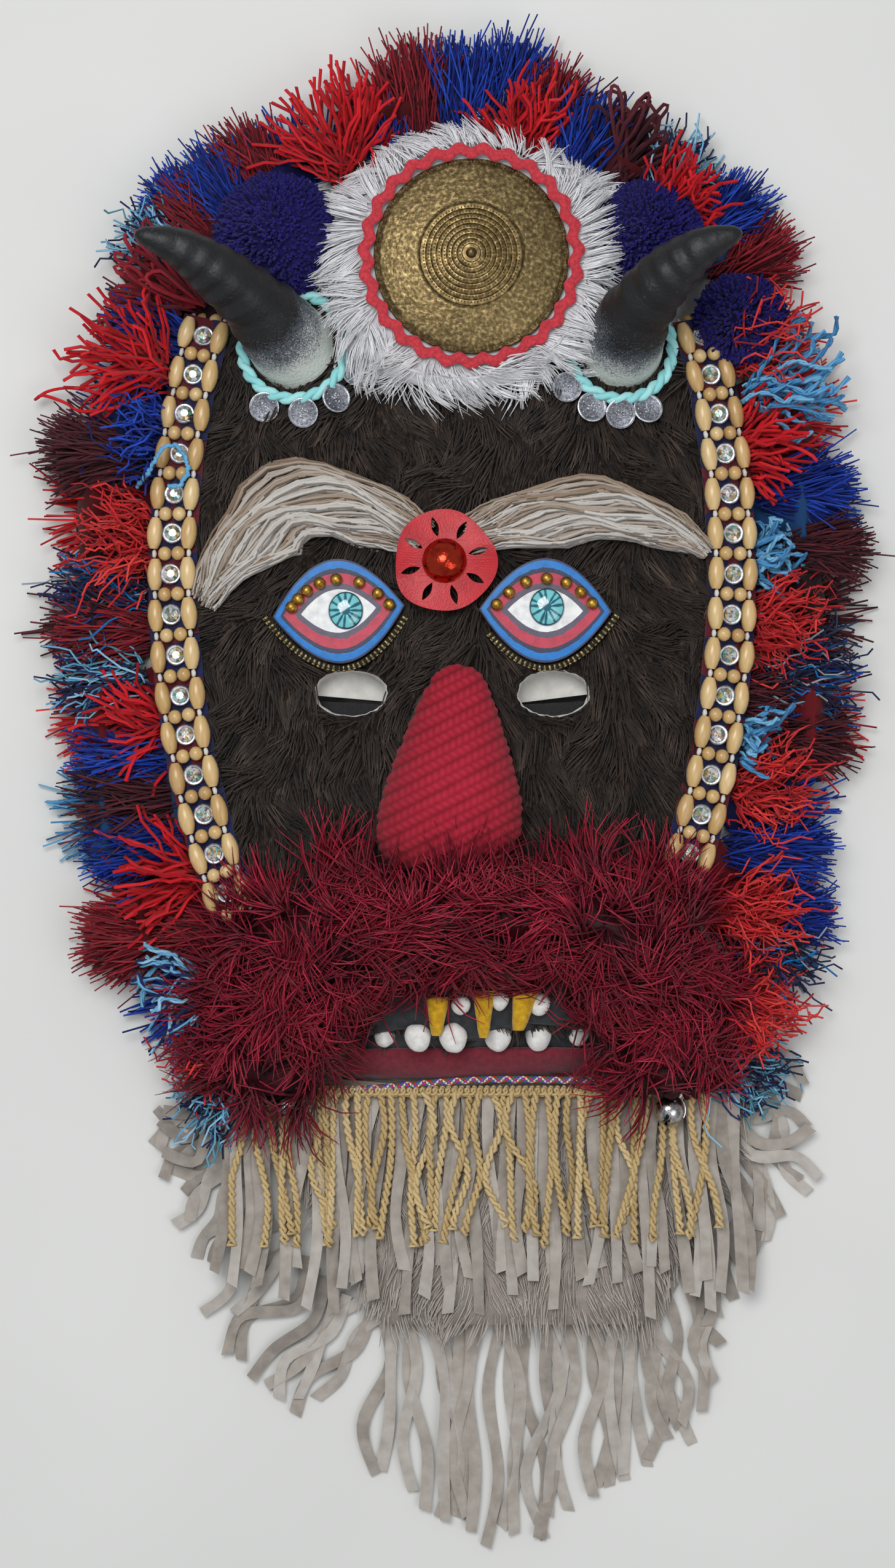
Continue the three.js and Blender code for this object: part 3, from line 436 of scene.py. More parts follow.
def threads(name, bunches, *materials, sides=3):
    """An object of swept threads. A bunch is points [threads, stations, 3], girths and tints, in mm."""
    places, edges, girths, tints = [], [], [], []
    first = 0
    for points, girth, tint in bunches:
        count, stations = points.shape[:2]
        index = first + np.arange(count * stations).reshape(count, stations)
        edges.append(np.stack((index[:, :-1], index[:, 1:]), -1).reshape(-1, 2))
        places.append(metres(points).reshape(-1, 3))
        girths.append(np.broadcast_to(girth, (count, stations)).reshape(-1) * MM)
        tints.append(np.broadcast_to(tint, (count, stations)).reshape(-1))
        first += count * stations
    edges = np.concatenate(edges)
    mesh = bpy.data.meshes.new(name)
    mesh.vertices.add(first)
    mesh.vertices.foreach_set("co", np.concatenate(places).reshape(-1))
    mesh.edges.add(len(edges))
    mesh.edges.foreach_set("vertices", edges.reshape(-1))
    for word, values in (("girth", girths), ("tint", tints)):
        mesh.attributes.new(word, "FLOAT", "POINT").data.foreach_set("value", np.concatenate(values))
    made = bpy.data.objects.new(name, mesh)
    bpy.context.scene.collection.objects.link(made)
    made.modifiers.new("sweep", "NODES").node_group = sweep_nodes(sides)
    swept = bpy.data.meshes.new_from_object(made.evaluated_get(bpy.context.evaluated_depsgraph_get()))
    made.modifiers.clear()
    made.data = swept
    swept.name = name
    for material in materials:
        swept.materials.append(material)
    swept.polygons.foreach_set("use_smooth", [True] * len(swept.polygons))
    return made


def joined(piece, *others):
    """Several mesh objects as one, under the first one's name."""
    for obj in bpy.context.selected_objects:
        obj.select_set(False)
    for obj in (piece, *others):
        obj.select_set(True)
    bpy.context.view_layer.objects.active = piece
    bpy.ops.object.join()
    return piece


def tinted(piece, value):
    """Gives every vertex of a piece one tint."""
    tint = piece.data.attributes.new("tint", "FLOAT", "POINT")
    tint.data.foreach_set("value", [value] * len(piece.data.vertices))
    return piece


def ripple(x, y, size, seed):
    """Smooth noise from about -1 to 1 over a plane, with waves of about this size in mm."""
    rng = np.random.default_rng(seed)
    total = 0
    for _ in range(5):
        turn, phase = rng.uniform(0, 2 * math.pi, 2)
        pace = 2 * math.pi / (size * rng.uniform(0.7, 1.4))
        total = total + np.sin((x * math.cos(turn) + y * math.sin(turn)) * pace + phase)
    return total / 2.6


def taper(stations, root, tip, belly=0.0):
    t = np.linspace(0, 1, stations)
    return root + (tip - root) * t + belly * np.sin(math.pi * t)


def clumped(points, cell, pull, rng):
    """Draws the tips of neighbouring hairs together, one lock for each cell of this size."""
    roots = points[:, 0, :2]
    warp = np.stack([ripple(roots[:, 0], roots[:, 1], 5 * cell, seed) for seed in (11, 12)], -1)
    keys = np.floor((roots + warp * cell) / cell).astype(int)
    _, lock = np.unique(keys, axis=0, return_inverse=True)
    lock = lock.reshape(-1)
    count = np.bincount(lock)
    tips = np.stack([np.bincount(lock, points[:, -1, k]) / count for k in range(3)], -1)
    bend = np.linspace(0, 1, points.shape[1]) ** 1.5
    points = points + (tips[lock] - points[:, -1])[:, None] * bend[None, :, None] * pull
    return points, rng.random(len(count))[lock]


def hairs(rng, x, y, z, normal, comb, length, lean, curl, stations, frizz):
    """Hairs from roots on a surface: comb is their heading, lean their angle from the normal."""
    t = np.linspace(0, 1, stations)[None, :, None]
    flat = np.stack((np.cos(comb), np.sin(comb), np.zeros_like(comb)), -1)
    flat -= normal * np.sum(flat * normal, -1, keepdims=True)
    flat /= np.linalg.norm(flat, axis=-1, keepdims=True)
    rise = (np.cos(lean)[:, None] * normal)[:, None]
    run = (np.sin(lean)[:, None] * flat)[:, None]
    bend = curl * (flat - 0.6 * normal)[:, None] * t**2 / 2
    root = np.stack((x, y, z), -1)[:, None]
    shape = root + length[:, None, None] * (rise * t + run * t + bend)
    return shape + rng.normal(0, frizz, shape.shape) * t


def scattered(rng, low, high, spacing):
    """Places over a rectangle, jittered from a grid."""
    x, y = np.meshgrid(np.arange(low[0], high[0], spacing), np.arange(low[1], high[1], spacing))
    place = np.stack((x, y), -1).reshape(-1, 2)
    return (place + rng.uniform(-0.5, 0.5, place.shape) * spacing).T


def widened(relief, x, y, reach, *names):
    """Where one of these nodes shows, or would within a reach."""
    found = relief.shows(x, y, *names)
    for turn in np.arange(0, 2 * math.pi, math.pi / 4):
        found |= relief.shows(x + reach * math.cos(turn), y + reach * math.sin(turn), *names)
    return found


# Shell and band, kept from CAD
def board_material():
    look = Finish("shell_board", 0.75, Specular_IOR_Level=0.3)
    look.colour(look.ramp(look.noise(9.0, 4.0), [(0.3, paint(196, 194, 188)), (0.7, paint(226, 225, 220))]))
    return look.bump(look.noise(2.5, 3.0), 0.3).material


def band_material():
    look = Finish("black_band_cloth", 0.9, Sheen_Weight=0.15)
    weave = look.cells(0.9)
    look.colour(look.ramp(weave, [(0.0, paint(20, 20, 22)), (0.7, paint(38, 38, 41))]))
    return look.bump(weave, 0.2).material


def dress(node, material):
    """A CAD node that stays, in a better material."""
    mesh = frame["nodes"][node].data
    mesh.materials.clear()
    mesh.materials.append(material)


BOARD = board_material()
dress("mask_base", BOARD)
dress("eye_band", band_material())


# Brown plush over the face
def plush_skin():
    look = Finish("plush_skin", 0.95, Sheen_Weight=0.1, Specular_IOR_Level=0.15)
    nap = look.noise(1.5, 4.0, (1.0, 0.45, 1.0))
    look.colour(look.ramp(nap, [(0.34, paint(17, 13, 11)), (0.55, paint(44, 36, 31)),
                                (0.72, paint(70, 60, 53))]))
    return look.bump(nap, 1.6).material


PLUSH_SKIN = plush_skin()
PLUSH_SPACING = 2.1
PLUSH_LENGTH = (8.0, 12.0)


def plush_base():
    bm = drawn_from("fur_face")
    bmesh.ops.subdivide_edges(bm, edges=bm.edges, cuts=3, use_grid_fill=True)
    bmesh.ops.triangulate(bm, faces=bm.faces)
    bmesh.ops.smooth_vert(bm, verts=bm.verts, factor=0.5, use_axis_x=False, use_axis_y=False,
                          use_axis_z=True)
    bm.normal_update()
    for v in bm.verts:
        if v.normal.z > 0.3:
            v.co.z += 2.6 * noise.noise(v.co / 9.0) + 1.4 * noise.noise(v.co / 4.0) - 0.6
    return tinted(bm_piece("plush_face", bm, PLUSH_SKIN), 0.3)


def outside_hole(x, y, hole, slack=1.0):
    return ((x - hole[0]) / HOLE_HALF[0]) ** 2 + ((y - hole[1]) / HOLE_HALF[1]) ** 2 > slack


def plush():
    rng = np.random.default_rng(4)
    x, y = scattered(rng, (-148, -145), (148, 292), PLUSH_SPACING)
    kept = widened(whole, x, y, 4.0, "fur_face")
    for hole in EYE_HOLES:
        kept &= outside_hole(x, y, hole, 1.3)
    x, y = x[kept], y[kept]
    up = ground.normal(x, y)
    swirl = 0.9 * ripple(x, y, 70, 1) + 0.55 * ripple(x, y, 26, 2)
    comb = np.arctan2(-0.9, 0.25 * x / 100) + swirl
    tuft = ripple(x, y, 13, 3)
    lean = 1.1 + 0.22 * tuft
    length = rng.uniform(*PLUSH_LENGTH, len(x)) * (1 + 0.15 * tuft)
    z = ground.at(x, y) - 0.5 + 1.8 * ripple(x, y, 17, 8)
    shape = hairs(rng, x, y, z, up, comb, length, lean, 0.8, 3, 0.4)
    shape, lock = clumped(shape, 6.5, 0.5, rng)
    for hole in EYE_HOLES:
        free = outside_hole(shape[:, -1, 0], shape[:, -1, 1], hole, 1.02)
        shape, lock, tuft = shape[free], lock[free], tuft[free]
    t = np.linspace(0, 1, shape.shape[1])
    # Painted shade: each hair darkens towards its root and lightens to its tip; the lock, random and tuft
    # terms vary the tone by clump.
    tint = 0.12 + 0.4 * t[None] + (0.28 * lock + 0.2 * rng.random(len(lock)) + 0.2 * tuft - 0.2)[:, None]
    pile = threads("plush_pile", [(shape, taper(3, 0.42, 0.15, 0.14), tint)], BROWN_PLUSH)
    settle(joined(plush_base(), pile), "plush", "fur_face")


plush()


# White fur patch, combed out from under the boss
def white_patch():
    rng = np.random.default_rng(7)
    base = drawn_from("forehead_fur")
    bmesh.ops.subdivide_edges(base, edges=base.edges, cuts=2, use_grid_fill=True)
    bmesh.ops.triangulate(base, faces=base.faces)
    bmesh.ops.smooth_vert(base, verts=base.verts, factor=0.5, use_axis_x=True, use_axis_y=True,
                          use_axis_z=True)
    base.normal_update()
    for v in base.verts:
        v.co -= v.normal * (2.2 - 1.6 * noise.noise(v.co / 5.0))
    skin = tinted(bm_piece("white_fur_patch", base, WHITE_FUR), 0.5)
    fur = Relief(["forehead_fur"])
    count = 6000
    turn = rng.uniform(0, 2 * math.pi, count)
    out = 49 + 25 * rng.random(count) ** 0.8
    x, y = BOSS_AT[0] + out * np.cos(turn), BOSS_AT[1] + out * np.sin(turn)
    kept = widened(whole, x, y, 8.0, "forehead_fur", "ricrac_braid")
    x, y, turn, out = x[kept], y[kept], turn[kept], out[kept]
    z = np.clip(np.maximum(fur.at(x, y), whole.at(x, y) - 4), 16, 56.5) - 1.5
    up = fur.normal(x, y, 6.0)
    comb = turn + 0.3 + 0.6 * ripple(x, y, 36, 5) + 0.3 * ripple(x, y, 12, 9)
    length = rng.uniform(11, 19, len(x))
    lean = 1.0 + 0.25 * ripple(x, y, 11, 10)
    shape = hairs(rng, x, y, z, up, comb, length, lean, 0.6, 3, 0.5)
    shape, lock = clumped(shape, 5.5, 0.55, rng)
    shape[..., 2] = np.maximum(shape[..., 2], 12.0)
    t = np.linspace(0, 1, 3)
    # Painted shade: the hairs darken towards their roots, and half the outer hairs get much darker roots.
    under = np.clip((out - 58) / 14, 0, 1)[:, None] * (rng.random(len(x)) < 0.5)[:, None]
    tint = 0.72 + 0.28 * t[None] + 0.16 * (lock[:, None] - 0.5) - 0.7 * under * (1 - t[None] ** 1.5)
    pile = threads("patch_hair", [(shape, taper(3, 0.33, 0.09, 0.14), tint)], WHITE_FUR)
    settle(joined(skin, pile), "white_fur", "forehead_fur")


white_patch()


# Pompoms of cut yarn
def pompom(name, node, count, seed):
    rng = np.random.default_rng(seed)
    bm = drawn_from(node)
    bmesh.ops.subdivide_edges(bm, edges=bm.edges, cuts=2, use_grid_fill=True)
    bmesh.ops.triangulate(bm, faces=bm.faces)
    bmesh.ops.smooth_vert(bm, verts=bm.verts, factor=0.5, use_axis_x=True, use_axis_y=True, use_axis_z=True)
    # The core is tinted below the yarn's plain tone, as painted shade under the cut ends.
    base = tinted(bm_piece(name, bm, NAVY), 0.2)
    low, high = (millimetres(corner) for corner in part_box(node))
    out = rng.normal(0, 1, (count, 3))
    out[:, 2] = np.abs(out[:, 2]) - 0.25
    out /= np.linalg.norm(out, axis=1, keepdims=True)
    root = (low + high) / 2 + out * (high - low) / 2 * 0.84
    size = rng.uniform(4.2, 5.6, (count, 1, 1))
    t = np.linspace(0, 1, 2)[None, :, None]
    shape = root[:, None] + out[:, None] * size * t + rng.normal(0, 0.9, (count, 2, 3)) * t
    shape[..., 2] = np.maximum(shape[..., 2], low[2] + 0.8)
    # Painted shade: the cut ends darken towards their roots.
    tint = 0.25 + 0.25 * t[..., 0] + 0.3 * rng.random((count, 1))
    tuft = threads(name + "_cut_ends", [(shape, taper(2, 1.0, 0.8), tint)], NAVY)
    settle(joined(base, tuft), "yarn_navy", node)


pompom("pompom_left_yarn", "pompom_left", 2900, 21)
pompom("pompom_right_yarn", "pompom_right", 2700, 22)
pompom("pompom_side_yarn", "pompom_side", 1400, 23)


# Wreath of yarn tassels
SPINE_LOW, SPINE_HIGH = -60.0, 150.0


def outward(x, y):
    """The heading away from the middle line of the face."""
    return math.atan2(y - min(max(y, SPINE_LOW), SPINE_HIGH), x)


def fanned(rng, root, heading, reach, count, spread, lift, stations, sag):
    """Paths that fan out from a tie."""
    share = rng.uniform(-1, 1, count)
    turn = heading + spread * share
    rise = lift * rng.uniform(-0.35, 1, count) * (1 - 0.5 * share**2)
    size = reach * rng.uniform(0.8, 1.0, count) * (1 - 0.2 * share**2)
    t = np.linspace(0, 1, stations)[None]
    run = size[:, None] * t * np.cos(rise)[:, None]
    tie = rng.normal(0, 1, (count, 3)) * (4.2, 4.2, 2.6) + root
    bend = rng.normal(0, 0.12, count)[:, None] * t**2
    x = tie[:, :1] + run * np.cos(turn[:, None] + bend)
    y = tie[:, 1:2] + run * np.sin(turn[:, None] + bend)
    z = tie[:, 2:] + size[:, None] * (np.sin(rise)[:, None] * t - sag * t**2)
    return np.stack((x, y, z), -1)


def wandering(rng, shape, step):
    """Adds a random walk along each path, none at its root."""
    walk = rng.normal(0, step, shape.shape)
    walk[:, 0] = 0
    walk = np.cumsum(walk, 1)
    t = np.linspace(0, 1, shape.shape[1])[None, :, None]
    return shape + walk - walk[:, -1:] * t * 0.5


def root_shaded_tints(rng, count, stations, low=0.1, high=0.95):
    """Tints with painted shade at the root, lightening to the end, with each thread a little apart."""
    t = np.linspace(0, 1, stations)[None]
    base = rng.uniform(low, high, (count, 1))
    return base * (0.45 + 0.55 * np.minimum(1, 2.2 * t))


def cut_tassel(rng, root, heading, reach, count=300, spread=0.5, lift=0.55, girth=0.54, step=1.0):
    """Soft strands that lie close together and end in a ragged row."""
    shape = wandering(rng, fanned(rng, root, heading, reach, count, spread, lift, 3, 0.16), step)
    return [(shape, taper(3, girth, girth * 0.8, 0.08), root_shaded_tints(rng, count, 3))]


def thick_tassel(rng, root, heading, reach, count=86, spread=0.95, lift=0.85, girth=0.98, step=1.5):
    """Thick soft strands that burst from their tie."""
    shape = wandering(rng, fanned(rng, root, heading, reach, count, spread, lift, 7, 0.2), step)
    return [(shape, taper(7, girth * 0.9, girth), root_shaded_tints(rng, count, 7, 0.3, 0.9))]


def crinkled_tassel(rng, root, heading, reach, count=132, spread=0.8, lift=0.8, girth=0.62, step=3.0):
    shape = wandering(rng, fanned(rng, root, heading, reach, count, spread, lift, 8, 0.15), step)
    return [(shape, taper(8, girth, girth * 0.9), root_shaded_tints(rng, count, 8, 0.25, 1.0))]


def mixed_tassel(rng, root, heading, reach, count=135, spread=0.75, lift=0.65, girth=0.56, step=2.4):
    shape = wandering(rng, fanned(rng, root, heading, reach, count, spread, lift, 7, 0.14), step)
    return [(shape, girth, rng.random((count, 1)))]


def looped_tassel(rng, root, heading, reach, count=36, spread=0.75, lift=0.65, girth=1.1):
    """Thick soft yarn that runs out and comes back."""
    stations = 11
    share = rng.uniform(-1, 1, count)
    turn = heading + spread * share
    rise = lift * rng.uniform(-0.2, 1, count)
    size = reach * rng.uniform(0.6, 1.0, count)
    width = rng.uniform(1.6, 4.2, count) * rng.choice((-1, 1), count)
    t = np.linspace(0, 1, stations)[None]
    out = np.sin(math.pi * t) ** 0.75 * size[:, None]
    side = width[:, None] * np.sin(2 * math.pi * t)
    tie = rng.normal(0, 1, (count, 3)) * (3, 3, 2) + root
    x = tie[:, :1] + out * np.cos(turn)[:, None] * np.cos(rise)[:, None] - side * np.sin(turn)[:, None]
    y = tie[:, 1:2] + out * np.sin(turn)[:, None] * np.cos(rise)[:, None] + side * np.cos(turn)[:, None]
    z = tie[:, 2:] + out * np.sin(rise)[:, None] - 0.12 * out**2 / reach + 0.3 * side
    shape = np.stack((x, y, z), -1) + rng.normal(0, 0.35, (count, stations, 3))
    # Painted shade: both ends of each loop, at the tie, are darker than its middle.
    tint = rng.uniform(0.25, 0.9, (count, 1)) * (0.6 + 0.4 * np.sin(math.pi * t))
    return [(shape, girth, tint)]


def plied(shape, radius, turns, rng, plies=2):
    """Each path as strands twisted round each other."""
    count, stations = shape.shape[:2]
    ahead = np.gradient(shape, axis=1)
    ahead /= np.linalg.norm(ahead, axis=-1, keepdims=True)
    side = np.cross(ahead, (0, 0, 1.0))
    side /= np.maximum(np.linalg.norm(side, axis=-1, keepdims=True), 1e-6)
    over = np.cross(side, ahead)
    angle = np.linspace(0, 2 * math.pi * turns, stations)[None] + rng.uniform(0, 6.28, (count, 1))
    strands = []
    for ply in range(plies):
        a = (angle + 2 * math.pi * ply / plies)[..., None]
        strands.append(shape + radius * (np.cos(a) * side + np.sin(a) * over))
    return strands


def smooth_paths(shape, stations):
    """Paths drawn again with more stations, on a smooth curve."""
    new = np.linspace(0, 1, stations)
    place = np.clip(new * (shape.shape[1] - 1), 0, shape.shape[1] - 1.0001)
    i = np.floor(place).astype(int)
    u = (place - i)[None, :, None]
    last = shape.shape[1] - 1
    p0, p1 = shape[:, np.maximum(i - 1, 0)], shape[:, i]
    p2, p3 = shape[:, np.minimum(i + 1, last)], shape[:, np.minimum(i + 2, last)]
    square = (2 * p0 - 5 * p1 + 4 * p2 - p3) * u**2
    return 0.5 * (2 * p1 + (p2 - p0) * u + square + (3 * p1 - p0 - 3 * p2 + p3) * u**3)


def along(path, share):
    """Points at shares of the way along a smooth path."""
    path = np.asarray(path, float)[None]
    fine = smooth_paths(path, 200)[0]
    steps = np.linalg.norm(np.diff(fine, axis=0), axis=1)
    length = np.concatenate(([0], np.cumsum(steps)))
    wanted = np.asarray(share) * length[-1]
    return np.stack([np.interp(wanted, length, fine[:, k]) for k in range(fine.shape[1])], -1)


def twisted_tassel(rng, root, heading, reach, count=34, spread=0.85, lift=0.8, girth=0.9):
    shape = wandering(rng, fanned(rng, root, heading, reach, count, spread, lift, 6, 0.15), 3.4)
    shape = smooth_paths(shape, 16)
    tint = rng.uniform(0.3, 0.95, (count, 1))
    return [(ply, girth, tint - 0.1 * i) for i, ply in enumerate(plied(shape, 0.62, 3.0, rng))]


STYLES = {
    "cut": cut_tassel, "crinkled": crinkled_tassel, "mixed": mixed_tassel, "loops": looped_tassel,
    "twisted": twisted_tassel, "thick": thick_tassel,
}
YARNS = {
    "royal": (ROYAL, "yarn_royal"), "red": (BRIGHT_RED, "yarn_red"), "crimson": (CRIMSON, "yarn_crimson"),
    "maroon": (MAROON, "yarn_maroon"), "coral": (CORAL, "yarn_coral"), "sky": (SKY, "yarn_sky"),
    "blues": (MIXED, "yarn_navy"), "pale": (PALE_BLUE, "yarn_sky"),
}
# Yarn, style, middle of the tassel, its reach and how high it lies, from the crown clockwise, then from
# the crown down the other side
TASSELS = [
    ("crimson", "cut", -17, 329, 52, 8), ("royal", "cut", 5, 330, 46, 12),
    ("royal", "cut", 27, 333, 44, 10), ("crimson", "cut", 45, 322, 44, 6),
    ("red", "thick", 36, 315, 40, 20), ("royal", "cut", 62, 305, 46, 12),
    ("maroon", "loops", 85, 303, 44, 10), ("pale", "mixed", 106, 290, 42, 8),
    ("red", "thick", 110, 277, 38, 20), ("royal", "cut", 131, 270, 40, 8),
    ("crimson", "cut", 146, 249, 40, 6), ("coral", "crinkled", 150, 211, 42, 12),
    ("sky", "twisted", 165, 188, 44, 18), ("red", "thick", 150, 160, 40, 20),
    ("royal", "cut", 171, 138, 46, 8), ("maroon", "cut", 180, 111, 34, 12),
    ("sky", "twisted", 150, 104, 32, 14), ("coral", "crinkled", 157, 77, 42, 14),
    ("blues", "mixed", 175, 51, 42, 8), ("maroon", "cut", 145, 38, 32, 12),
    ("sky", "twisted", 142, 22, 28, 18), ("maroon", "cut", 172, 22, 36, 8),
    ("coral", "crinkled", 154, -2, 42, 14), ("royal", "cut", 158, -31, 46, 8),
    ("coral", "crinkled", 149, -60, 42, 12), ("royal", "cut", 165, -62, 32, 4),
    ("blues", "mixed", 157, -80, 36, 8), ("coral", "crinkled", 147, -106, 40, 12),
    ("pale", "mixed", 142, -140, 36, 4), ("red", "thick", -57, 312, 52, 18),
    ("royal", "cut", -30, 306, 36, 6), ("crimson", "cut", -96, 294, 40, 8),
    ("royal", "cut", -112, 283, 40, 10), ("crimson", "cut", -125, 268, 40, 8),
    ("royal", "cut", -132, 276, 30, 4), ("pale", "mixed", -143, 259, 32, 6),
    ("crimson", "loops", -142, 237, 46, 12), ("royal", "cut", -142, 214, 44, 8),
    ("red", "thick", -158, 202, 48, 18), ("royal", "crinkled", -144, 166, 44, 12),
    ("maroon", "cut", -172, 156, 50, 10), ("coral", "crinkled", -159, 113, 46, 14),
    ("blues", "mixed", -169, 88, 44, 8), ("crimson", "cut", -166, 71, 48, 8),
    ("pale", "mixed", -170, 50, 42, 10), ("red", "thick", -156, 27, 44, 12),
    ("royal", "cut", -158, 11, 46, 10), ("maroon", "cut", -157, -6, 50, 10),
    ("royal", "cut", -154, -29, 46, 8), ("red", "thick", -143, -44, 50, 14),
    ("crimson", "cut", -157, -74, 44, 8), ("pale", "twisted", -132, -96, 40, 14),
    ("coral", "crinkled", -116, -132, 34, 10), ("pale", "mixed", -112, -152, 36, 4),
    ("crimson", "cut", -124, -70, 32, 12),
]
# Share of its outward reach by which a matted body is drawn in under the threads
UNDER_DRAWN_IN = 0.55
TASSEL_NODES = [name for name in frame["nodes"] if name.startswith("tassel_")]
# The yarn that shows low between the tassels, by the colour of each CAD cluster
UNDER_YARNS = ["royal", "coral", "royal", "coral", "maroon", "sky", "coral", "navy", "sky", "red",
               "royal", "red", "royal", "red", "maroon", "royal", "red", "maroon", "coral", "sky", "red",
               "royal"]


def node_middle(name):
    low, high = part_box(name)
    return millimetres((low + high) / 2)


def under_ladder(points):
    """Presses down what would lie over a ladder, to under its tape."""
    x, y = points[..., 0], points[..., 1]
    inner = np.abs(x) < LADDER_HALF + 12.5 - LADDER_BOW * (y - LADDER_WIDEST) ** 2
    held = inner & (y > -66) & (y < 224)
    bed = np.maximum(ground.at(x, y), 1.3) + 0.4
    points[..., 2] = np.where(held, np.minimum(points[..., 2], bed), points[..., 2])


def under_tassel(node):
    """The matted body of the wreath behind the tassels on show, darkened as painted shade, with its own low
    threads.
    """
    number = int(node.split("_")[1])
    rng = np.random.default_rng(100 + number)
    middle = node_middle(node)
    heading = outward(middle[0], middle[1])
    word = UNDER_YARNS[number - 1]
    material, slot = YARNS[word]
    body = drawn_from(node)
    bmesh.ops.subdivide_edges(body, edges=body.edges, cuts=1, use_grid_fill=True)
    bmesh.ops.triangulate(body, faces=body.faces)
    body.normal_update()
    out = Vector((math.cos(heading), math.sin(heading), 0))
    for v in body.verts:
        reach = max(0.0, (v.co - Vector(middle)).dot(out) + 6)
        v.co -= out * reach * UNDER_DRAWN_IN
        if v.co.z > 4:
            v.co += v.normal * (1.8 * noise.noise(v.co / 3.5) - 2.8)
    # The body is tinted below the darkest tone, as painted shade under the tassels.
    body = tinted(bm_piece(f"under_{word}_{number:02d}", body, material), -0.15)
    root = (middle[0] - 18 * out.x, middle[1] - 18 * out.y, 8.0)
    bunch = cut_tassel(rng, root, heading, 47, 110, 0.85, 0.3, 0.7, 1.2)
    for points, _, _ in bunch:
        points[..., 2] = np.maximum(points[..., 2], 1.6 + rng.uniform(0, 2, points.shape[:1])[:, None])
        under_ladder(points)
    settle(joined(body, threads("low_threads", bunch, material)), slot, node)


def shown_tassel(number, word, style, x, y, reach, lift):
    rng = np.random.default_rng(200 + number)
    heading = outward(x, y)
    material, slot = YARNS[word]
    root = (x - 0.5 * reach * math.cos(heading), y - 0.5 * reach * math.sin(heading), 8.0 + lift)
    bunches = STYLES[style](rng, root, heading, reach)
    for points, _, _ in bunches:
        points[..., 2] = np.clip(points[..., 2], 1.6, 58.0)
        under_ladder(points)
    settle(threads(f"tassel_of_{word}_{number:02d}", bunches, material), slot)


for node in sorted(TASSEL_NODES):
    under_tassel(node)
for number, (word, style, x, y, reach, lift) in enumerate(TASSELS, 1):
    shown_tassel(number, word, style, x, y, reach, lift)

# A loose red loop at the left, and a curly blue strand across the left ladder
RED_LOOP = [(-158, 176, 30), (-174, 175, 24), (-183, 180, 18), (-194, 184, 12), (-198, 182, 9),
            (-192, 186, 10), (-181, 187, 16), (-168, 184, 24), (-156, 180, 28)]
BLUE_CURL = [(-148, 140, 24), (-141, 146, 36), (-135, 155, 42), (-128, 157, 43), (-123, 149, 43),
             (-125, 140, 43), (-132, 138, 42)]


def stray_strands():
    rng = np.random.default_rng(301)
    red = along(RED_LOOP, np.linspace(0, 1, 40))[None]
    settle(threads("loose_red_loop", [(red, 0.8, 0.6)], BRIGHT_RED, sides=6), "yarn_red")
    blue = along(BLUE_CURL, np.linspace(0, 1, 70))[None]
    knots = 0.8 + 0.45 * rng.random((1, 70))
    curl = blue + rng.normal(0, 0.35, blue.shape)
    settle(threads("loose_blue_curl", [(curl, knots, 0.7)], SKY, sides=6), "yarn_sky")


stray_strands()


# Moustache of eyelash yarn
MOUSTACHE = np.array([
    (-80, -150), (-86, -118), (-71, -86), (-38, -68), (2, -62), (42, -61), (78, -73), (98, -102),
    (97, -150),
], float)
MOUSTACHE_TUFT_SPACING = 12.4
# Where few hairs end: middle, half size and the share left out, over the mouth and the right bell
HAIR_GAPS = [((14, -121), (54, 20), 0.92), ((102, -154), (12, 12), 0.97), ((-77, -151), (10, 10), 0.7)]


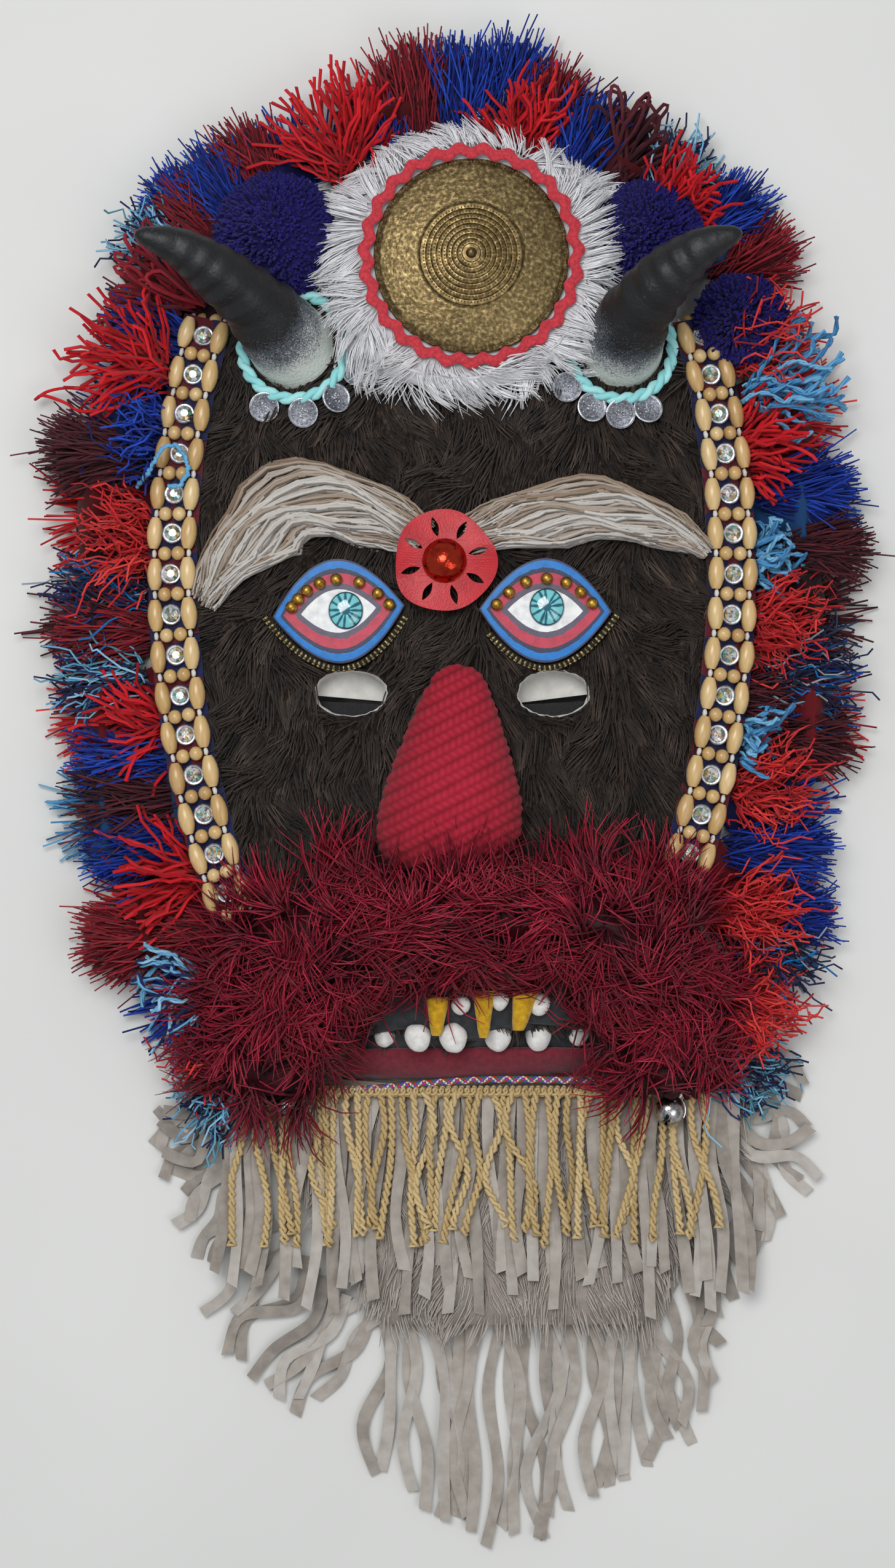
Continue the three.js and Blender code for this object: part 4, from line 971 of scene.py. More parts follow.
def moustache():
    rng = np.random.default_rng(31)
    bm = drawn_from("moustache")
    bmesh.ops.subdivide_edges(bm, edges=bm.edges, cuts=1, use_grid_fill=True)
    bmesh.ops.triangulate(bm, faces=bm.faces)
    bm.normal_update()
    for v in bm.verts:
        v.co -= Vector((v.normal.x, v.normal.y, max(0.0, v.normal.z))) * 7.5
        v.co += v.normal * 1.5 * noise.noise(v.co / 4.0)
    # The core is tinted near black, as painted shade beneath the lashes.
    core = tinted(bm_piece("moustache_yarn", bm, EYELASH_YARN), 0.04)
    per = 44
    x, y = scattered(rng, (-112, -170), (126, -38), MOUSTACHE_TUFT_SPACING)
    kept = whole.shows(x, y, "moustache")
    spot = np.stack((x[kept], y[kept]), -1)
    level = whole.at(spot[:, 0], spot[:, 1])
    spine = along(MOUSTACHE, np.linspace(0, 1, 120))
    gaps = spot[:, None] - spine[None]
    near = np.argmin(np.linalg.norm(gaps, axis=-1), axis=1)
    away = gaps[np.arange(len(spot)), near]
    edge = np.clip(np.linalg.norm(away, axis=1) / 18, 0, 1)
    lay = np.arctan2(away[:, 1], away[:, 0]) + rng.normal(0, 1, len(spot)) * (2.2 - 1.5 * edge)
    count = len(spot) * per
    root = np.repeat(np.concatenate((spot, level[:, None]), 1), per, 0)
    root[:, :2] += rng.normal(0, 2.4, (count, 2))
    turn = np.repeat(lay, per) + rng.normal(0, 0.62, count)
    size = rng.uniform(15, 33, (count, 1))
    t = np.linspace(0, 1, 4)[None]
    bend = rng.normal(0, 0.16, (count, 1)) * t + np.repeat(rng.normal(0, 0.3, len(spot)), per)[:, None] * t
    x = root[:, :1] + size * t * np.cos(turn[:, None] + bend)
    y = root[:, 1:2] + size * t * np.sin(turn[:, None] + bend)
    under = np.maximum(whole.at(x, y), 6.0)
    rise = rng.uniform(2.0, 11.0, (count, 1)) * np.sin(math.pi * np.minimum(1, 0.72 * t))
    z = (root[:, 2:] - 6.0) * (1 - t**1.6) + (under + 0.5) * t**1.6
    z = np.maximum(z, np.where(t > 0.3, under - 2.0, z)) + rise
    shape = np.stack((x, y, z), -1) + rng.normal(0, 0.2, (count, 4, 3))
    tuft = np.repeat(rng.uniform(0.65, 1.3, len(spot)), per)[:, None]
    # Painted shade: each lash is near black at its root and lightens towards its tip.
    tint = 0.02 + 0.9 * t**1.2 * tuft * rng.uniform(0.4, 1.1, (count, 1))
    ends = shape[:, 2:]
    free = np.ones(count, bool)
    for (middle_x, middle_y), (half_x, half_y), share in HAIR_GAPS:
        inside = ((ends[..., 0] - middle_x) / half_x) ** 2 + ((ends[..., 1] - middle_y) / half_y) ** 2 < 1
        free &= ~inside.any(1) | (rng.random(count) > share)
    shape, tint = shape[free], tint[free]
    lash = threads("moustache_lashes", [(shape, taper(4, 0.56, 0.17, 0.16), tint)], EYELASH_YARN)
    settle(joined(core, lash), "yarn_crimson", "moustache")


moustache()


# Brows: locks of carded wool
LOCK_TONES = (0.93, 0.62, 0.88, 0.97, 0.7, 0.95, 0.6, 0.9, 0.97, 0.55, 0.75, 0.5)


def brow(name, node, path, halves, seed):
    rng = np.random.default_rng(seed)
    count, stations = 320, 14
    fine = along(path, np.linspace(0, 1, stations))
    half = np.interp(np.linspace(0, 1, stations), np.linspace(0, 1, len(halves)), halves)
    ahead = np.gradient(fine, axis=0)
    ahead /= np.linalg.norm(ahead, axis=1, keepdims=True)
    aside = np.stack((-ahead[:, 1], ahead[:, 0]), -1)
    lane = rng.uniform(-1, 1, count)
    lock = np.minimum(np.floor((lane + 1) / 2 * len(LOCK_TONES)), len(LOCK_TONES) - 1)
    inside = (lane + 1) / 2 * len(LOCK_TONES) - lock - 0.5
    wave = 2.0 * np.sin(np.linspace(0, 4.2 * math.pi, stations)[None] + lock[:, None] * 0.7)
    over = (lane[:, None] * half[None] * 0.98 + wave * (half / 15)[None])
    t = np.linspace(0, 1, stations)[None]
    slip = rng.uniform(-3, 11, (count, 1)) * (1 - t) ** 3 - rng.uniform(-3, 11, (count, 1)) * t**3
    xy = fine[None] + aside[None] * over[..., None] + ahead[None] * slip[..., None]
    top = whole.at(xy[..., 0], xy[..., 1])
    floor = ground.at(xy[..., 0], xy[..., 1])
    z = np.maximum(top * 0.5 + floor * 0.5 + 3, floor + 2) + rng.uniform(-1.5, 1.5, (count, 1))
    z += 3.0 * (np.cos(math.pi * inside)[:, None] - 0.6)
    z += 1.2 * np.sin(lock[:, None] * 2.1 + np.linspace(0, 5, stations)[None])
    near = np.hypot(xy[..., 0] - FLOWER_AT[0], xy[..., 1] - FLOWER_AT[1]) < 27
    z = np.where(near, np.minimum(z, 51.5), z)
    shape = np.concatenate((xy, z[..., None]), -1) + rng.normal(0, 0.45, (count, stations, 3))
    hue = np.array(LOCK_TONES)[lock.astype(int)]
    # Painted shade: each lock darkens towards its edges, where it meets the next.
    shade = 0.12 * (1 - np.cos(math.pi * inside))
    tint = np.clip(hue + rng.normal(0, 0.07, count) - shade, 0.02, 0.98)[:, None]
    girth = taper(stations, 0.55, 0.55, 0.5)
    locks = threads(name + "_locks", [(shape, girth, tint)], WOOL)
    core = drawn_from(node)
    bmesh.ops.subdivide_edges(core, edges=core.edges, cuts=1, use_grid_fill=True)
    bmesh.ops.triangulate(core, faces=core.faces)
    core.normal_update()
    for v in core.verts:
        v.co -= Vector((v.normal.x, v.normal.y, max(0.0, v.normal.z))) * 3.6
    settle(joined(tinted(bm_piece(name, core, WOOL), 0.3), locks), "wool", node)


BROW_LEFT = [(-115, 86), (-101, 107), (-79, 128), (-54, 130), (-32, 123), (-16, 113)]
BROW_RIGHT = [(9, 115), (27, 121), (52, 126.5), (81, 125), (103, 118), (117, 109)]
brow("brow_left_wool", "brow_left", BROW_LEFT, [7, 15, 20, 18, 15, 10], 41)
brow("brow_right_wool", "brow_right", BROW_RIGHT, [9, 14, 15, 14, 10, 4], 42)


# Grey fur of the beard
def beard_fur():
    rng = np.random.default_rng(51)
    bm = drawn_from("beard_fur")
    bmesh.ops.subdivide_edges(bm, edges=bm.edges, cuts=1, use_grid_fill=True)
    bmesh.ops.triangulate(bm, faces=bm.faces)
    base = tinted(bm_piece("beard_panel", bm, GREY_FUR), 0.3)
    x, y = scattered(rng, (-125, -262), (152, -140), 3.0)
    kept = whole.shows(x, y, "beard_fur", "beard_fringe_upper", "bullion_fringe")
    fur = Relief(["beard_fur"])
    kept &= fur.shows(x, y, "beard_fur")
    x, y = x[kept], y[kept]
    z = fur.at(x, y) - 1.5
    up = np.broadcast_to((0.0, 0.0, 1.0), (len(x), 3)).copy()
    comb = -math.pi / 2 + 0.5 * ripple(x, y, 40, 6) + 0.25 * (x - 20) / 60
    length = rng.uniform(9, 15, len(x))
    shape = hairs(rng, x, y, z, up, comb, length, np.full(len(x), 1.15), 0.4, 3, 0.4)
    shape, lock = clumped(shape, 6, 0.5, rng)
    shape[..., 2] = np.maximum(shape[..., 2], 1.0)
    t = np.linspace(0, 1, 3)[None]
    # Painted shade: the hairs darken towards their roots.
    tint = 0.1 + 0.45 * t + 0.3 * lock[:, None]
    pile = threads("beard_hair", [(shape, taper(3, 0.65, 0.2, 0.1), tint)], GREY_FUR)
    settle(joined(base, pile), "grey_fur", "beard_fur")


beard_fur()


# Horns, their ropes and coins
HORNS = {
    "left": [(-73.4, 203, 33), (-84, 213, 59), (-99, 226, 77), (-121, 240, 91), (-142, 246, 98)],
    "right": [(78, 203, 32), (82, 212, 59), (93.5, 226, 79), (111, 240, 93), (129, 246.5, 100)],
}
HORN_BASE, HORN_TIP = 20.5, 3.0
HORN_GIRTHS = [1.0, 0.93, 0.86, 0.75, 0.68, 0.62, 0.5, 0.36, HORN_TIP / HORN_BASE]
ROPE_RING, ROPE_GIRTH = 24.6, 2.8
COIN_TURNS = {"left": (-116, -82, -51, -22), "right": (-142, -115, -90, -66)}
COIN_DROP, COIN_RADIUS = 31.5, 6.9


def horn_material():
    look = Finish("painted_horn", 0.5, Coat_Weight=0.08, Coat_Roughness=0.35, Specular_IOR_Level=0.4)
    speckle = look.sums("MULTIPLY_ADD", look.noise(0.7, 3.0), 0.34, -0.17)
    cloud = look.sums("MULTIPLY_ADD", look.noise(14.0), 0.16, -0.08)
    share = look.sums("ADD", look.attribute(), look.sums("ADD", speckle, cloud))
    tones = look.ramp(share, [
        (0.0, paint(232, 232, 222)), (0.12, paint(216, 218, 212)), (0.22, paint(92, 98, 106)),
        (0.31, paint(24, 25, 27)), (1.0, paint(15, 16, 18)),
    ])
    scratch = look.ramp(look.noise(1.6, 2.0, (1.0, 0.16, 1.0)), [(0.68, 0.0), (0.76, 0.35)])
    look.colour(look.mix(scratch, tones, paint(84, 88, 92)))
    look.roughness(look.ramp(look.noise(5.0, 2.0), [(0.3, 0.42), (0.7, 0.6)]))
    return look.bump(look.noise(1.6, 3.0), 0.35).material


def swept_rings(path, radii, sides, ridge=None):
    """Rings of points square to a path; ridge(share, turn) is added to the radius."""
    path = np.asarray(path, float)
    ahead = np.gradient(path, axis=0)
    ahead /= np.linalg.norm(ahead, axis=1, keepdims=True)
    side = np.cross(ahead, (0.0, 0.0, 1.0))
    side /= np.maximum(np.linalg.norm(side, axis=1, keepdims=True), 1e-6)
    over = np.cross(side, ahead)
    turn = np.linspace(0, 2 * math.pi, sides + 1)[None]
    share = np.linspace(0, 1, len(path))[:, None]
    radius = np.asarray(radii, float)[:, None] + (ridge(share, turn) if ridge else 0)
    ring = path[:, None] + radius[..., None] * (
        np.cos(turn)[..., None] * side[:, None] + np.sin(turn)[..., None] * over[:, None])
    return np.concatenate((path[:1, None].repeat(sides + 1, 1), ring, path[-1:, None].repeat(sides + 1, 1)))


def horn(side):
    path = along(HORNS[side], np.linspace(0, 1, 84))
    radii = np.interp(np.linspace(0, 1, 84), np.linspace(0, 1, 9), HORN_GIRTHS) * HORN_BASE
    radii[-3:] *= (0.92, 0.75, 0.45)

    def ridge(share, turn):
        wave = np.sin(share * 62 + 2.4 * np.sin(share * 9) + 0.7 * np.sin(turn + 1.0)) ** 3
        fade = np.clip((share - 0.12) * 6, 0, 1) * np.clip((0.97 - share) * 5, 0, 1)
        lump = 0.5 * np.sin(3 * turn + 7 * share) + 0.35 * np.sin(5 * turn - 12 * share)
        return fade * (0.85 * wave * (0.6 + 0.4 * np.sin(2 * turn + 5 * share)) + 0.5 * lump)

    rings = swept_rings(path, radii, 40, ridge)
    tints = np.concatenate(([0], np.linspace(0, 1, 84), [1]))
    bm = wrapped(rings, tints)
    settle(bm_piece(f"horn_{side}_painted", bm, HORN_PAINT), "horn", f"horn_{side}")


def metal(name, deep, plain, rough=0.3, dirt=3.0):
    look = Finish(name, rough, 1.0)
    look.colour(look.ramp(look.noise(dirt, 3.0), [(0.35, paint(*deep)), (0.62, paint(*plain))]))
    look.roughness(look.ramp(look.noise(dirt * 0.7, 2.0), [(0.3, rough), (0.7, rough + 0.2)]))
    return look.bump(look.noise(0.8, 2.0), 0.06).material


def coin_pattern():
    """A small coin lying flat: beaded rim, a ring of studs and a plain raised device."""
    rng = np.random.default_rng(3)
    bm = bmesh.new()
    r = COIN_RADIUS
    stamp(bm, turned([(0, -0.4), (r, -0.4), (r, 0.55), (r - 0.5, 0.7), (r - 1.0, 0.3), (0, 0.3)], 36),
          Matrix())
    for face in bm.faces:
        middle = face.calc_center_median()
        face.material_index = int(middle.z > 0.25 and middle.xy.length < r - 1.0)
    bead, stud = ball(0.32), ball(0.55)
    for i in range(40):
        a = i * 2 * math.pi / 40
        stamp(bm, bead, put((r - 0.5) * math.cos(a), (r - 0.5) * math.sin(a), 0.68))
    for i in range(12):
        a = i * 2 * math.pi / 12
        stamp(bm, stud, put(4.7 * math.cos(a), 4.7 * math.sin(a), 0.35))
    for i in range(9):
        a, out = i * 2.4, 0.75 * math.sqrt(i)
        lump = ball(rng.uniform(0.5, 0.85), 1, 0, (1.5, 0.8, 0.6))
        stamp(bm, lump, put(out * math.cos(a), out * math.sin(a), 0.35, rng.uniform(0, 3.1)))
    mesh = bpy.data.meshes.new("coin")
    bm.to_mesh(mesh)
    bm.free()
    return mesh


def coin_rope(side):
    base = HORNS[side][0]
    rng = np.random.default_rng(61 if side == "left" else 62)
    turn = np.linspace(0, 2 * math.pi, 73)
    x, y = base[0] + ROPE_RING * np.cos(turn), base[1] + ROPE_RING * np.sin(turn)
    z = ground.at(x, y) + 1.8 + ROPE_GIRTH
    ring = np.stack((x, y, z), -1)[None]
    plies = plied(ring, 1.45, 11, np.random.default_rng(1), 2)
    bunches = [(ply, 1.75, 0.45 + 0.25 * i) for i, ply in enumerate(plies)]
    cord = threads(f"coin_rope_{side}_cord", bunches, AQUA_CORD, sides=7)
    settle(cord, "aqua_cord", f"coin_rope_{side}")
    bm = bmesh.new()
    pattern = coin_pattern()
    for angle in COIN_TURNS[side]:
        a = math.radians(angle)
        x, y = base[0] + COIN_DROP * math.cos(a), base[1] + COIN_DROP * math.sin(a)
        tip = Matrix.Rotation(rng.uniform(-0.35, 0.35), 4, "X")
        lean = tip @ Matrix.Rotation(rng.uniform(-0.3, 0.3), 4, "Y")
        stamp(bm, pattern, put(x, y, float(ground.at(x, y)) + 4.6, rng.uniform(0, 6.2), lean))
        stamp(bm, ball(0.8, 1), put(x - 6.4 * math.cos(a), y - 6.4 * math.sin(a),
                                    float(ground.at(x, y)) + 5.0))
    settle(bm_piece(f"coins_{side}", bm, COIN_SILVER, COIN_FIELD), "coin_silver")


HORN_PAINT = horn_material()
AQUA_CORD = fibre("aqua_cord", ((96, 170, 178), (150, 220, 222), (186, 238, 236)), mottle=0.15, rough=0.75)
COIN_SILVER = metal("coin_silver", (150, 152, 160), (214, 216, 222), 0.34, 2.0)
COIN_FIELD = metal("coin_field", (104, 106, 114), (158, 160, 168), 0.5, 1.0)
for side in ("left", "right"):
    horn(side)
    coin_rope(side)


# Brass boss and its wavy braid
BOSS_RADIUS = 45.0
BOSS_DOTS = (22.0, 19.6, 17.2, 14.8, 12.4, 10.0, 7.6, 5.2)
RICRAC_WAVES, RICRAC_SWING, RICRAC_WIDTH = 27, 1.25, 5.6


def brass_material(name, depth):
    look = Finish(name, 0.4, 1.0)
    worn = look.noise(1.7, 3.0)
    look.colour(look.ramp(worn, [(0.34, paint(92, 78, 52)), (0.52, paint(120, 103, 70)),
                                 (0.7, paint(172, 150, 106))]))
    look.roughness(look.ramp(look.noise(3.0, 2.0), [(0.35, 0.5), (0.7, 0.34)]))
    return look.bump(look.noise(1.7, 2.0), depth, 0.7).material


def boss():
    low, high = (millimetres(c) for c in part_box("brass_boss"))
    rise = high[2] - low[2] - 0.6

    def level(r):
        return low[2] + 1.0 + (rise - 1.0) * max(0.0, 1 - r / (BOSS_RADIUS - 1.6)) ** 0.85

    profile = [(0, level(0) + 1.0), (1.4, level(0) + 0.8), (2.2, level(0)), (2.5, level(2.5) - 0.5)]
    for ring in sorted(BOSS_DOTS):
        profile += [(ring - 1.15, level(ring) - 0.1), (ring - 0.95, level(ring) + 0.3),
                    (ring - 0.7, level(ring) - 0.15), (ring + 0.6, level(ring) - 0.2)]
    profile += [(23.4, level(23.4) - 0.1), (23.8, level(23.8) + 0.35), (24.3, level(24.3) - 0.1)]
    profile += [(r, level(r)) for r in np.arange(25.2, 42.4, 0.9)]
    profile += [(42.6, level(42.6) - 0.3), (44.4, low[2] + 0.9), (BOSS_RADIUS, low[2] + 0.3),
                (BOSS_RADIUS - 0.6, low[2]), (0, low[2])]
    bm = bmesh.new()
    stamp(bm, turned(profile, 120), put(*BOSS_AT, 0))
    for v in bm.verts:
        out = math.hypot(v.co.x - BOSS_AT[0], v.co.y - BOSS_AT[1])
        if 24.6 < out < 42 and v.co.z > low[2] + 0.5:
            v.co.z += 0.1 * noise.noise(v.co / 1.9) + 0.08 * noise.noise(v.co / 4.5)
    for face in bm.faces:
        middle = face.calc_center_median()
        face.material_index = 1 if math.hypot(middle.x - BOSS_AT[0], middle.y - BOSS_AT[1]) < 24.4 else 0
    for out, size in [(43.5, 0.55)] + [(ring, 0.46) for ring in BOSS_DOTS]:
        count = int(2 * math.pi * out / (1.5 if out < 40 else 1.42))
        dot = ball(size, 1, int(out < 40))
        for i in range(count):
            a = i * 2 * math.pi / count
            stamp(bm, dot, put(BOSS_AT[0] + out * math.cos(a), BOSS_AT[1] + out * math.sin(a),
                               level(out) - 0.05))
    stamp(bm, ball(2.3, 3), put(*BOSS_AT, level(0) + 0.6))
    settle(bm_piece("boss_of_brass", bm, BRASS, CAST_BRASS), "brass", "brass_boss")


def ricrac():
    low = millimetres(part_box("ricrac_braid")[0])
    steps, ring = 432, []
    for i in range(steps + 1):
        a = i * 2 * math.pi / steps
        swing = RICRAC_SWING * math.sin(RICRAC_WAVES * a)
        row = []
        for j in range(13):
            b = j * 2 * math.pi / 12
            across = RICRAC_WIDTH / 2 * math.copysign(abs(math.cos(b)) ** 0.6, math.cos(b))
            lift = 0.95 * math.sin(b) * (1 + 0.16 * math.sin(across * 3.4))
            out = BOSS_RADIUS + 0.7 + RICRAC_WIDTH / 2 + swing + across
            row.append((BOSS_AT[0] + out * math.cos(a), BOSS_AT[1] + out * math.sin(a),
                        low[2] + 1.6 + lift))
        ring.append(row)
    settle(bm_piece("ricrac_round_boss", wrapped(ring), RICRAC), "red_braid", "ricrac_braid")


def ricrac_material():
    look = Finish("red_wavy_braid", 0.7, Sheen_Weight=0.25)
    weave = look.cells(1.1)
    look.colour(look.ramp(look.noise(1.6, 2.0), [(0.3, paint(164, 22, 38)), (0.7, paint(208, 44, 60))]))
    return look.bump(weave, 0.35).material


BRASS = brass_material("antique_brass", 0.35)
CAST_BRASS = brass_material("cast_brass_rings", 0.05)
RICRAC = ricrac_material()
boss()
ricrac()


# Ladders of wooden beads with rhinestones, on their tapes
LADDER_CELLS, LADDER_PITCH, RAIL_SPREAD = 15, 18.9, 8.2
OVAL_HALF, OVAL_RADIUS, ROUND_RADIUS, STONE_RADIUS = 7.3, 3.9, 3.35, 4.2


def on_ladder(side, gone, out):
    """A place on a ladder: steps in mm along it from its top, and out from its middle line."""
    y, step = LADDER_TOP, 0.5
    for _ in range(int(gone / step)):
        y -= step / math.hypot(1, 2 * LADDER_BOW * (y - LADDER_WIDEST))
    turn = math.atan(-2 * LADDER_BOW * (y - LADDER_WIDEST))
    x = LADDER_HALF - LADDER_BOW * (y - LADDER_WIDEST) ** 2
    return side * (x + out * math.cos(turn)), y - out * math.sin(turn), -side * turn


def bead_material():
    look = Finish("bead_wood", 0.34, Coat_Weight=0.35, Coat_Roughness=0.2)
    grain = look.noise(1.5, 3.0, (1.0, 0.12, 1.0))
    shade = look.sums("ADD", look.attribute(), look.sums("MULTIPLY_ADD", grain, 0.5, -0.25))
    look.colour(look.ramp(shade, [(0.1, paint(168, 126, 72)), (0.5, paint(207, 172, 114)),
                                  (0.9, paint(228, 202, 152))]))
    return look.bump(grain, 0.08).material


def stone_glint_material():
    look = Finish("rhinestone", 0.14, 0.35, Coat_Weight=0.4, Coat_Roughness=0.05)
    # Each facet takes a random colour from bright, dark and tinted tones: painted glints and reflections of
    # the cut stone.
    hue = look.sums("ADD", look.attribute("facet"),
                    look.sums("MULTIPLY_ADD", look.noise(1.4, 1.0), 0.3, -0.15))
    look.colour(look.ramp(hue, [
        (0.0, paint(214, 214, 208)), (0.16, paint(88, 82, 74)), (0.3, paint(240, 240, 234)),
        (0.46, paint(196, 160, 74)), (0.6, paint(104, 100, 94)), (0.74, paint(84, 176, 160)),
        (0.86, paint(216, 216, 226)), (1.0, paint(150, 84, 108)),
    ]))
    return look.material


def facet_place(face):
    middle = face.calc_center_median()
    return round(middle.z, 3), round(math.atan2(middle.y, middle.x), 3)


def stone_pattern(rng):
    bm = bmesh.new()
    r = STONE_RADIUS
    stamp(bm, turned([(0, 1.9), (r * 0.42, 1.9), (r * 0.8, 1.2), (r, 0.3), (r, -0.4), (0, -0.4)], 12),
          Matrix())
    layer = bm.faces.layers.float.new("facet")
    for face in sorted(bm.faces, key=facet_place):
        face[layer] = rng.random()
    mesh = bpy.data.meshes.new("stone")
    bm.to_mesh(mesh)
    bm.free()
    return mesh


def ladder(word, side):
    rng = np.random.default_rng(71 if side < 0 else 72)
    oval = turned([(0, -OVAL_HALF), (1.9, -OVAL_HALF), (2.9, -5.4), (3.6, -2.8), (OVAL_RADIUS, 0),
                   (3.6, 2.8), (2.9, 5.4), (1.9, OVAL_HALF), (0, OVAL_HALF)], 14)
    sphere = turned([(0, -3.0), (1.1, -3.1), (2.4, -2.3), (3.2, -1.0), (ROUND_RADIUS, 0), (3.2, 1.0),
                     (2.4, 2.3), (1.1, 3.1), (0, 3.0)], 14)
    knot = ball(1.25, 1, 1, (1, 1.9, 1))
    upright = Matrix.Rotation(math.pi / 2, 4, "X")
    sideways = Matrix.Rotation(math.pi / 2, 4, "Y")
    bm = bmesh.new()
    tint = bm.verts.layers.float.new("tint")

    def bead(pattern, gone, out, tilt):
        x, y, turn = on_ladder(side, gone, out)
        z = max(float(tapes.at(x, y)), float(ground.at(x, y)) + 3.0) + 4.0
        before = len(bm.verts)
        sway = rng.uniform(-0.07, 0.07)
        stamp(bm, pattern, put(x + rng.uniform(-0.3, 0.3), y, z, turn + sway, tilt))
        bm.verts.ensure_lookup_table()
        value = rng.uniform(0.3, 0.7)
        for v in bm.verts[before:]:
            v[tint] = value

    for cell in range(LADDER_CELLS + 1):
        at = cell * LADDER_PITCH
        for out in (-3.35, 3.35):
            bead(sphere, at, out, sideways)
        for out in (-RAIL_SPREAD, RAIL_SPREAD):
            bead(knot, at, out, None)
            if cell < LADDER_CELLS:
                bead(oval, at + LADDER_PITCH / 2, out, upright)
    piece = bm_piece(f"beads_{word}", bm, BEAD_WOOD, KNOT_THREAD)
    settle(piece, "bead_wood", f"bead_ladder_{word}")
    stones = bmesh.new()
    stones.faces.layers.float.new("facet")
    r = STONE_RADIUS
    cup = turned([(0, -2.0), (r + 0.6, -2.0), (r + 0.7, 0.5), (r + 0.2, 0.9), (0, 0.1)], 20, 1)
    for cell in range(LADDER_CELLS):
        x, y, turn = on_ladder(side, (cell + 0.5) * LADDER_PITCH, rng.uniform(-0.5, 0.5))
        lean = Matrix.Rotation(rng.uniform(-0.15, 0.15), 4, "X")
        spot = put(x, y, float(tapes.at(x, y)) + 2.4, rng.uniform(0, 6.2), lean)
        stamp(stones, stone_pattern(rng), spot)
        stamp(stones, cup, spot)
    settle(bm_piece(f"stones_{word}", stones, RHINESTONE, COIN_SILVER, smooth=False), "crystal")


BEAD_WOOD = bead_material()
KNOT_THREAD = Finish("white_knot_thread", 0.8).colour(paint(214, 212, 206)).material
RHINESTONE = stone_glint_material()
for word, side in (("left", -1), ("right", 1)):
    ladder(word, side)


def tape_material():
    look = Finish("tape_weave", 0.85, Sheen_Weight=0.2)
    patch = look.ramp(look.noise(26.0, 1.0), [(0.0, paint(24, 34, 96)), (0.47, paint(120, 20, 34)),
                                              (0.56, paint(26, 30, 84))],
                      steps=True)
    look.colour(look.mix(look.ramp(look.cells(0.8), [(0.1, 0.0), (0.7, 0.55)]), patch, paint(12, 12, 30)))
    return look.bump(look.cells(0.8), 0.25).material


TAPE = tape_material()
dress("ladder_tape_left", TAPE)
dress("ladder_tape_right", TAPE)


# Painted leather eyes with lid beads, glass irises and zipper arcs
EYES = {"left": ((-52.5, 79.8), 5.0), "right": ((43.0, 80.1), -1.0)}
PLATE_HALF = (30.0, 23.7)
IRIS_SHIFT = {"left": (3.4, 0.2), "right": (0.6, 1.5)}
LID_BEADS = {
    "left": (-0.88, -0.74, -0.56, -0.31, 0.01, 0.44, 0.77, 0.97),
    "right": (-0.93, -0.70, -0.38, 0.01, 0.38, 0.66, 0.88),
}
LID_SPAN, LID_RISE = 24.4, 14.6
# Rings of the leather, from under it to its painted middle: half width, half height and lift
EYE_RINGS = [
    (0.0, 0.0, 0.0), (30.2, 23.7, 0.0), (30.8, 24.3, 0.6), (30.6, 24.1, 3.6), (29.4, 22.7, 3.9),
    (26.3, 18.4, 3.9), (25.1, 17.1, 3.9), (18.4, 10.8, 3.9), (16.9, 9.6, 3.9), (9.0, 4.5, 3.9),
    (0.0, 0.0, 3.9),
]
# Paint from each ring's row of tints on
EYE_PAINTS = [
    (3, (58, 62, 92)), (4, (16, 122, 204)), (5, (46, 50, 82)), (6, (196, 56, 80)), (7, (92, 86, 104)),
    (8, (241, 242, 241)),
]
TINT_STEPS = 16
LEATHER_RISE = 1.8


def almond(half_width, half_height, steps=96):
    """Points round two arcs that meet in corners."""
    turn = np.arange(steps) * 2 * math.pi / steps
    x = np.cos(turn)
    y = np.sign(np.sin(turn)) * (1 - np.abs(x) ** 1.95)
    return np.stack((x * half_width, y * half_height), -1)


def eye_plate(side):
    at, tilt = EYES[side]
    turn = math.radians(tilt)
    c, s = math.cos(turn), math.sin(turn)
    lie = np.array(((c, s), (-s, c)))
    rows = []
    for half_width, half_height, lift in EYE_RINGS:
        flat = almond(half_width, half_height) @ lie + np.array(at)
        flat = np.concatenate((flat, flat[:1]))
        height = ground.at(flat[:, 0], flat[:, 1]) + LEATHER_RISE + lift
        rows.append(np.concatenate((flat, height[:, None]), 1))
    leather = wrapped(rows, np.arange(len(rows)) / TINT_STEPS)
    settle(bm_piece(f"eye_leather_{side}", leather, EYE_PAINT), "eye_leather", f"eye_plate_{side}")
    beads = bmesh.new()
    pearl = ball(2.85, 2, 0, (1, 1, 0.9))
    for share in LID_BEADS[side]:
        spot = np.array((share * LID_SPAN, LID_RISE * (1 - abs(share) ** 2.2))) @ lie + np.array(at)
        stamp(beads, pearl, put(*spot, float(ground.at(*spot)) + 1.8 + 3.9 + 1.9))
    settle(bm_piece(f"lid_beads_{side}", beads, GOLD_BEAD), "gold_bead")


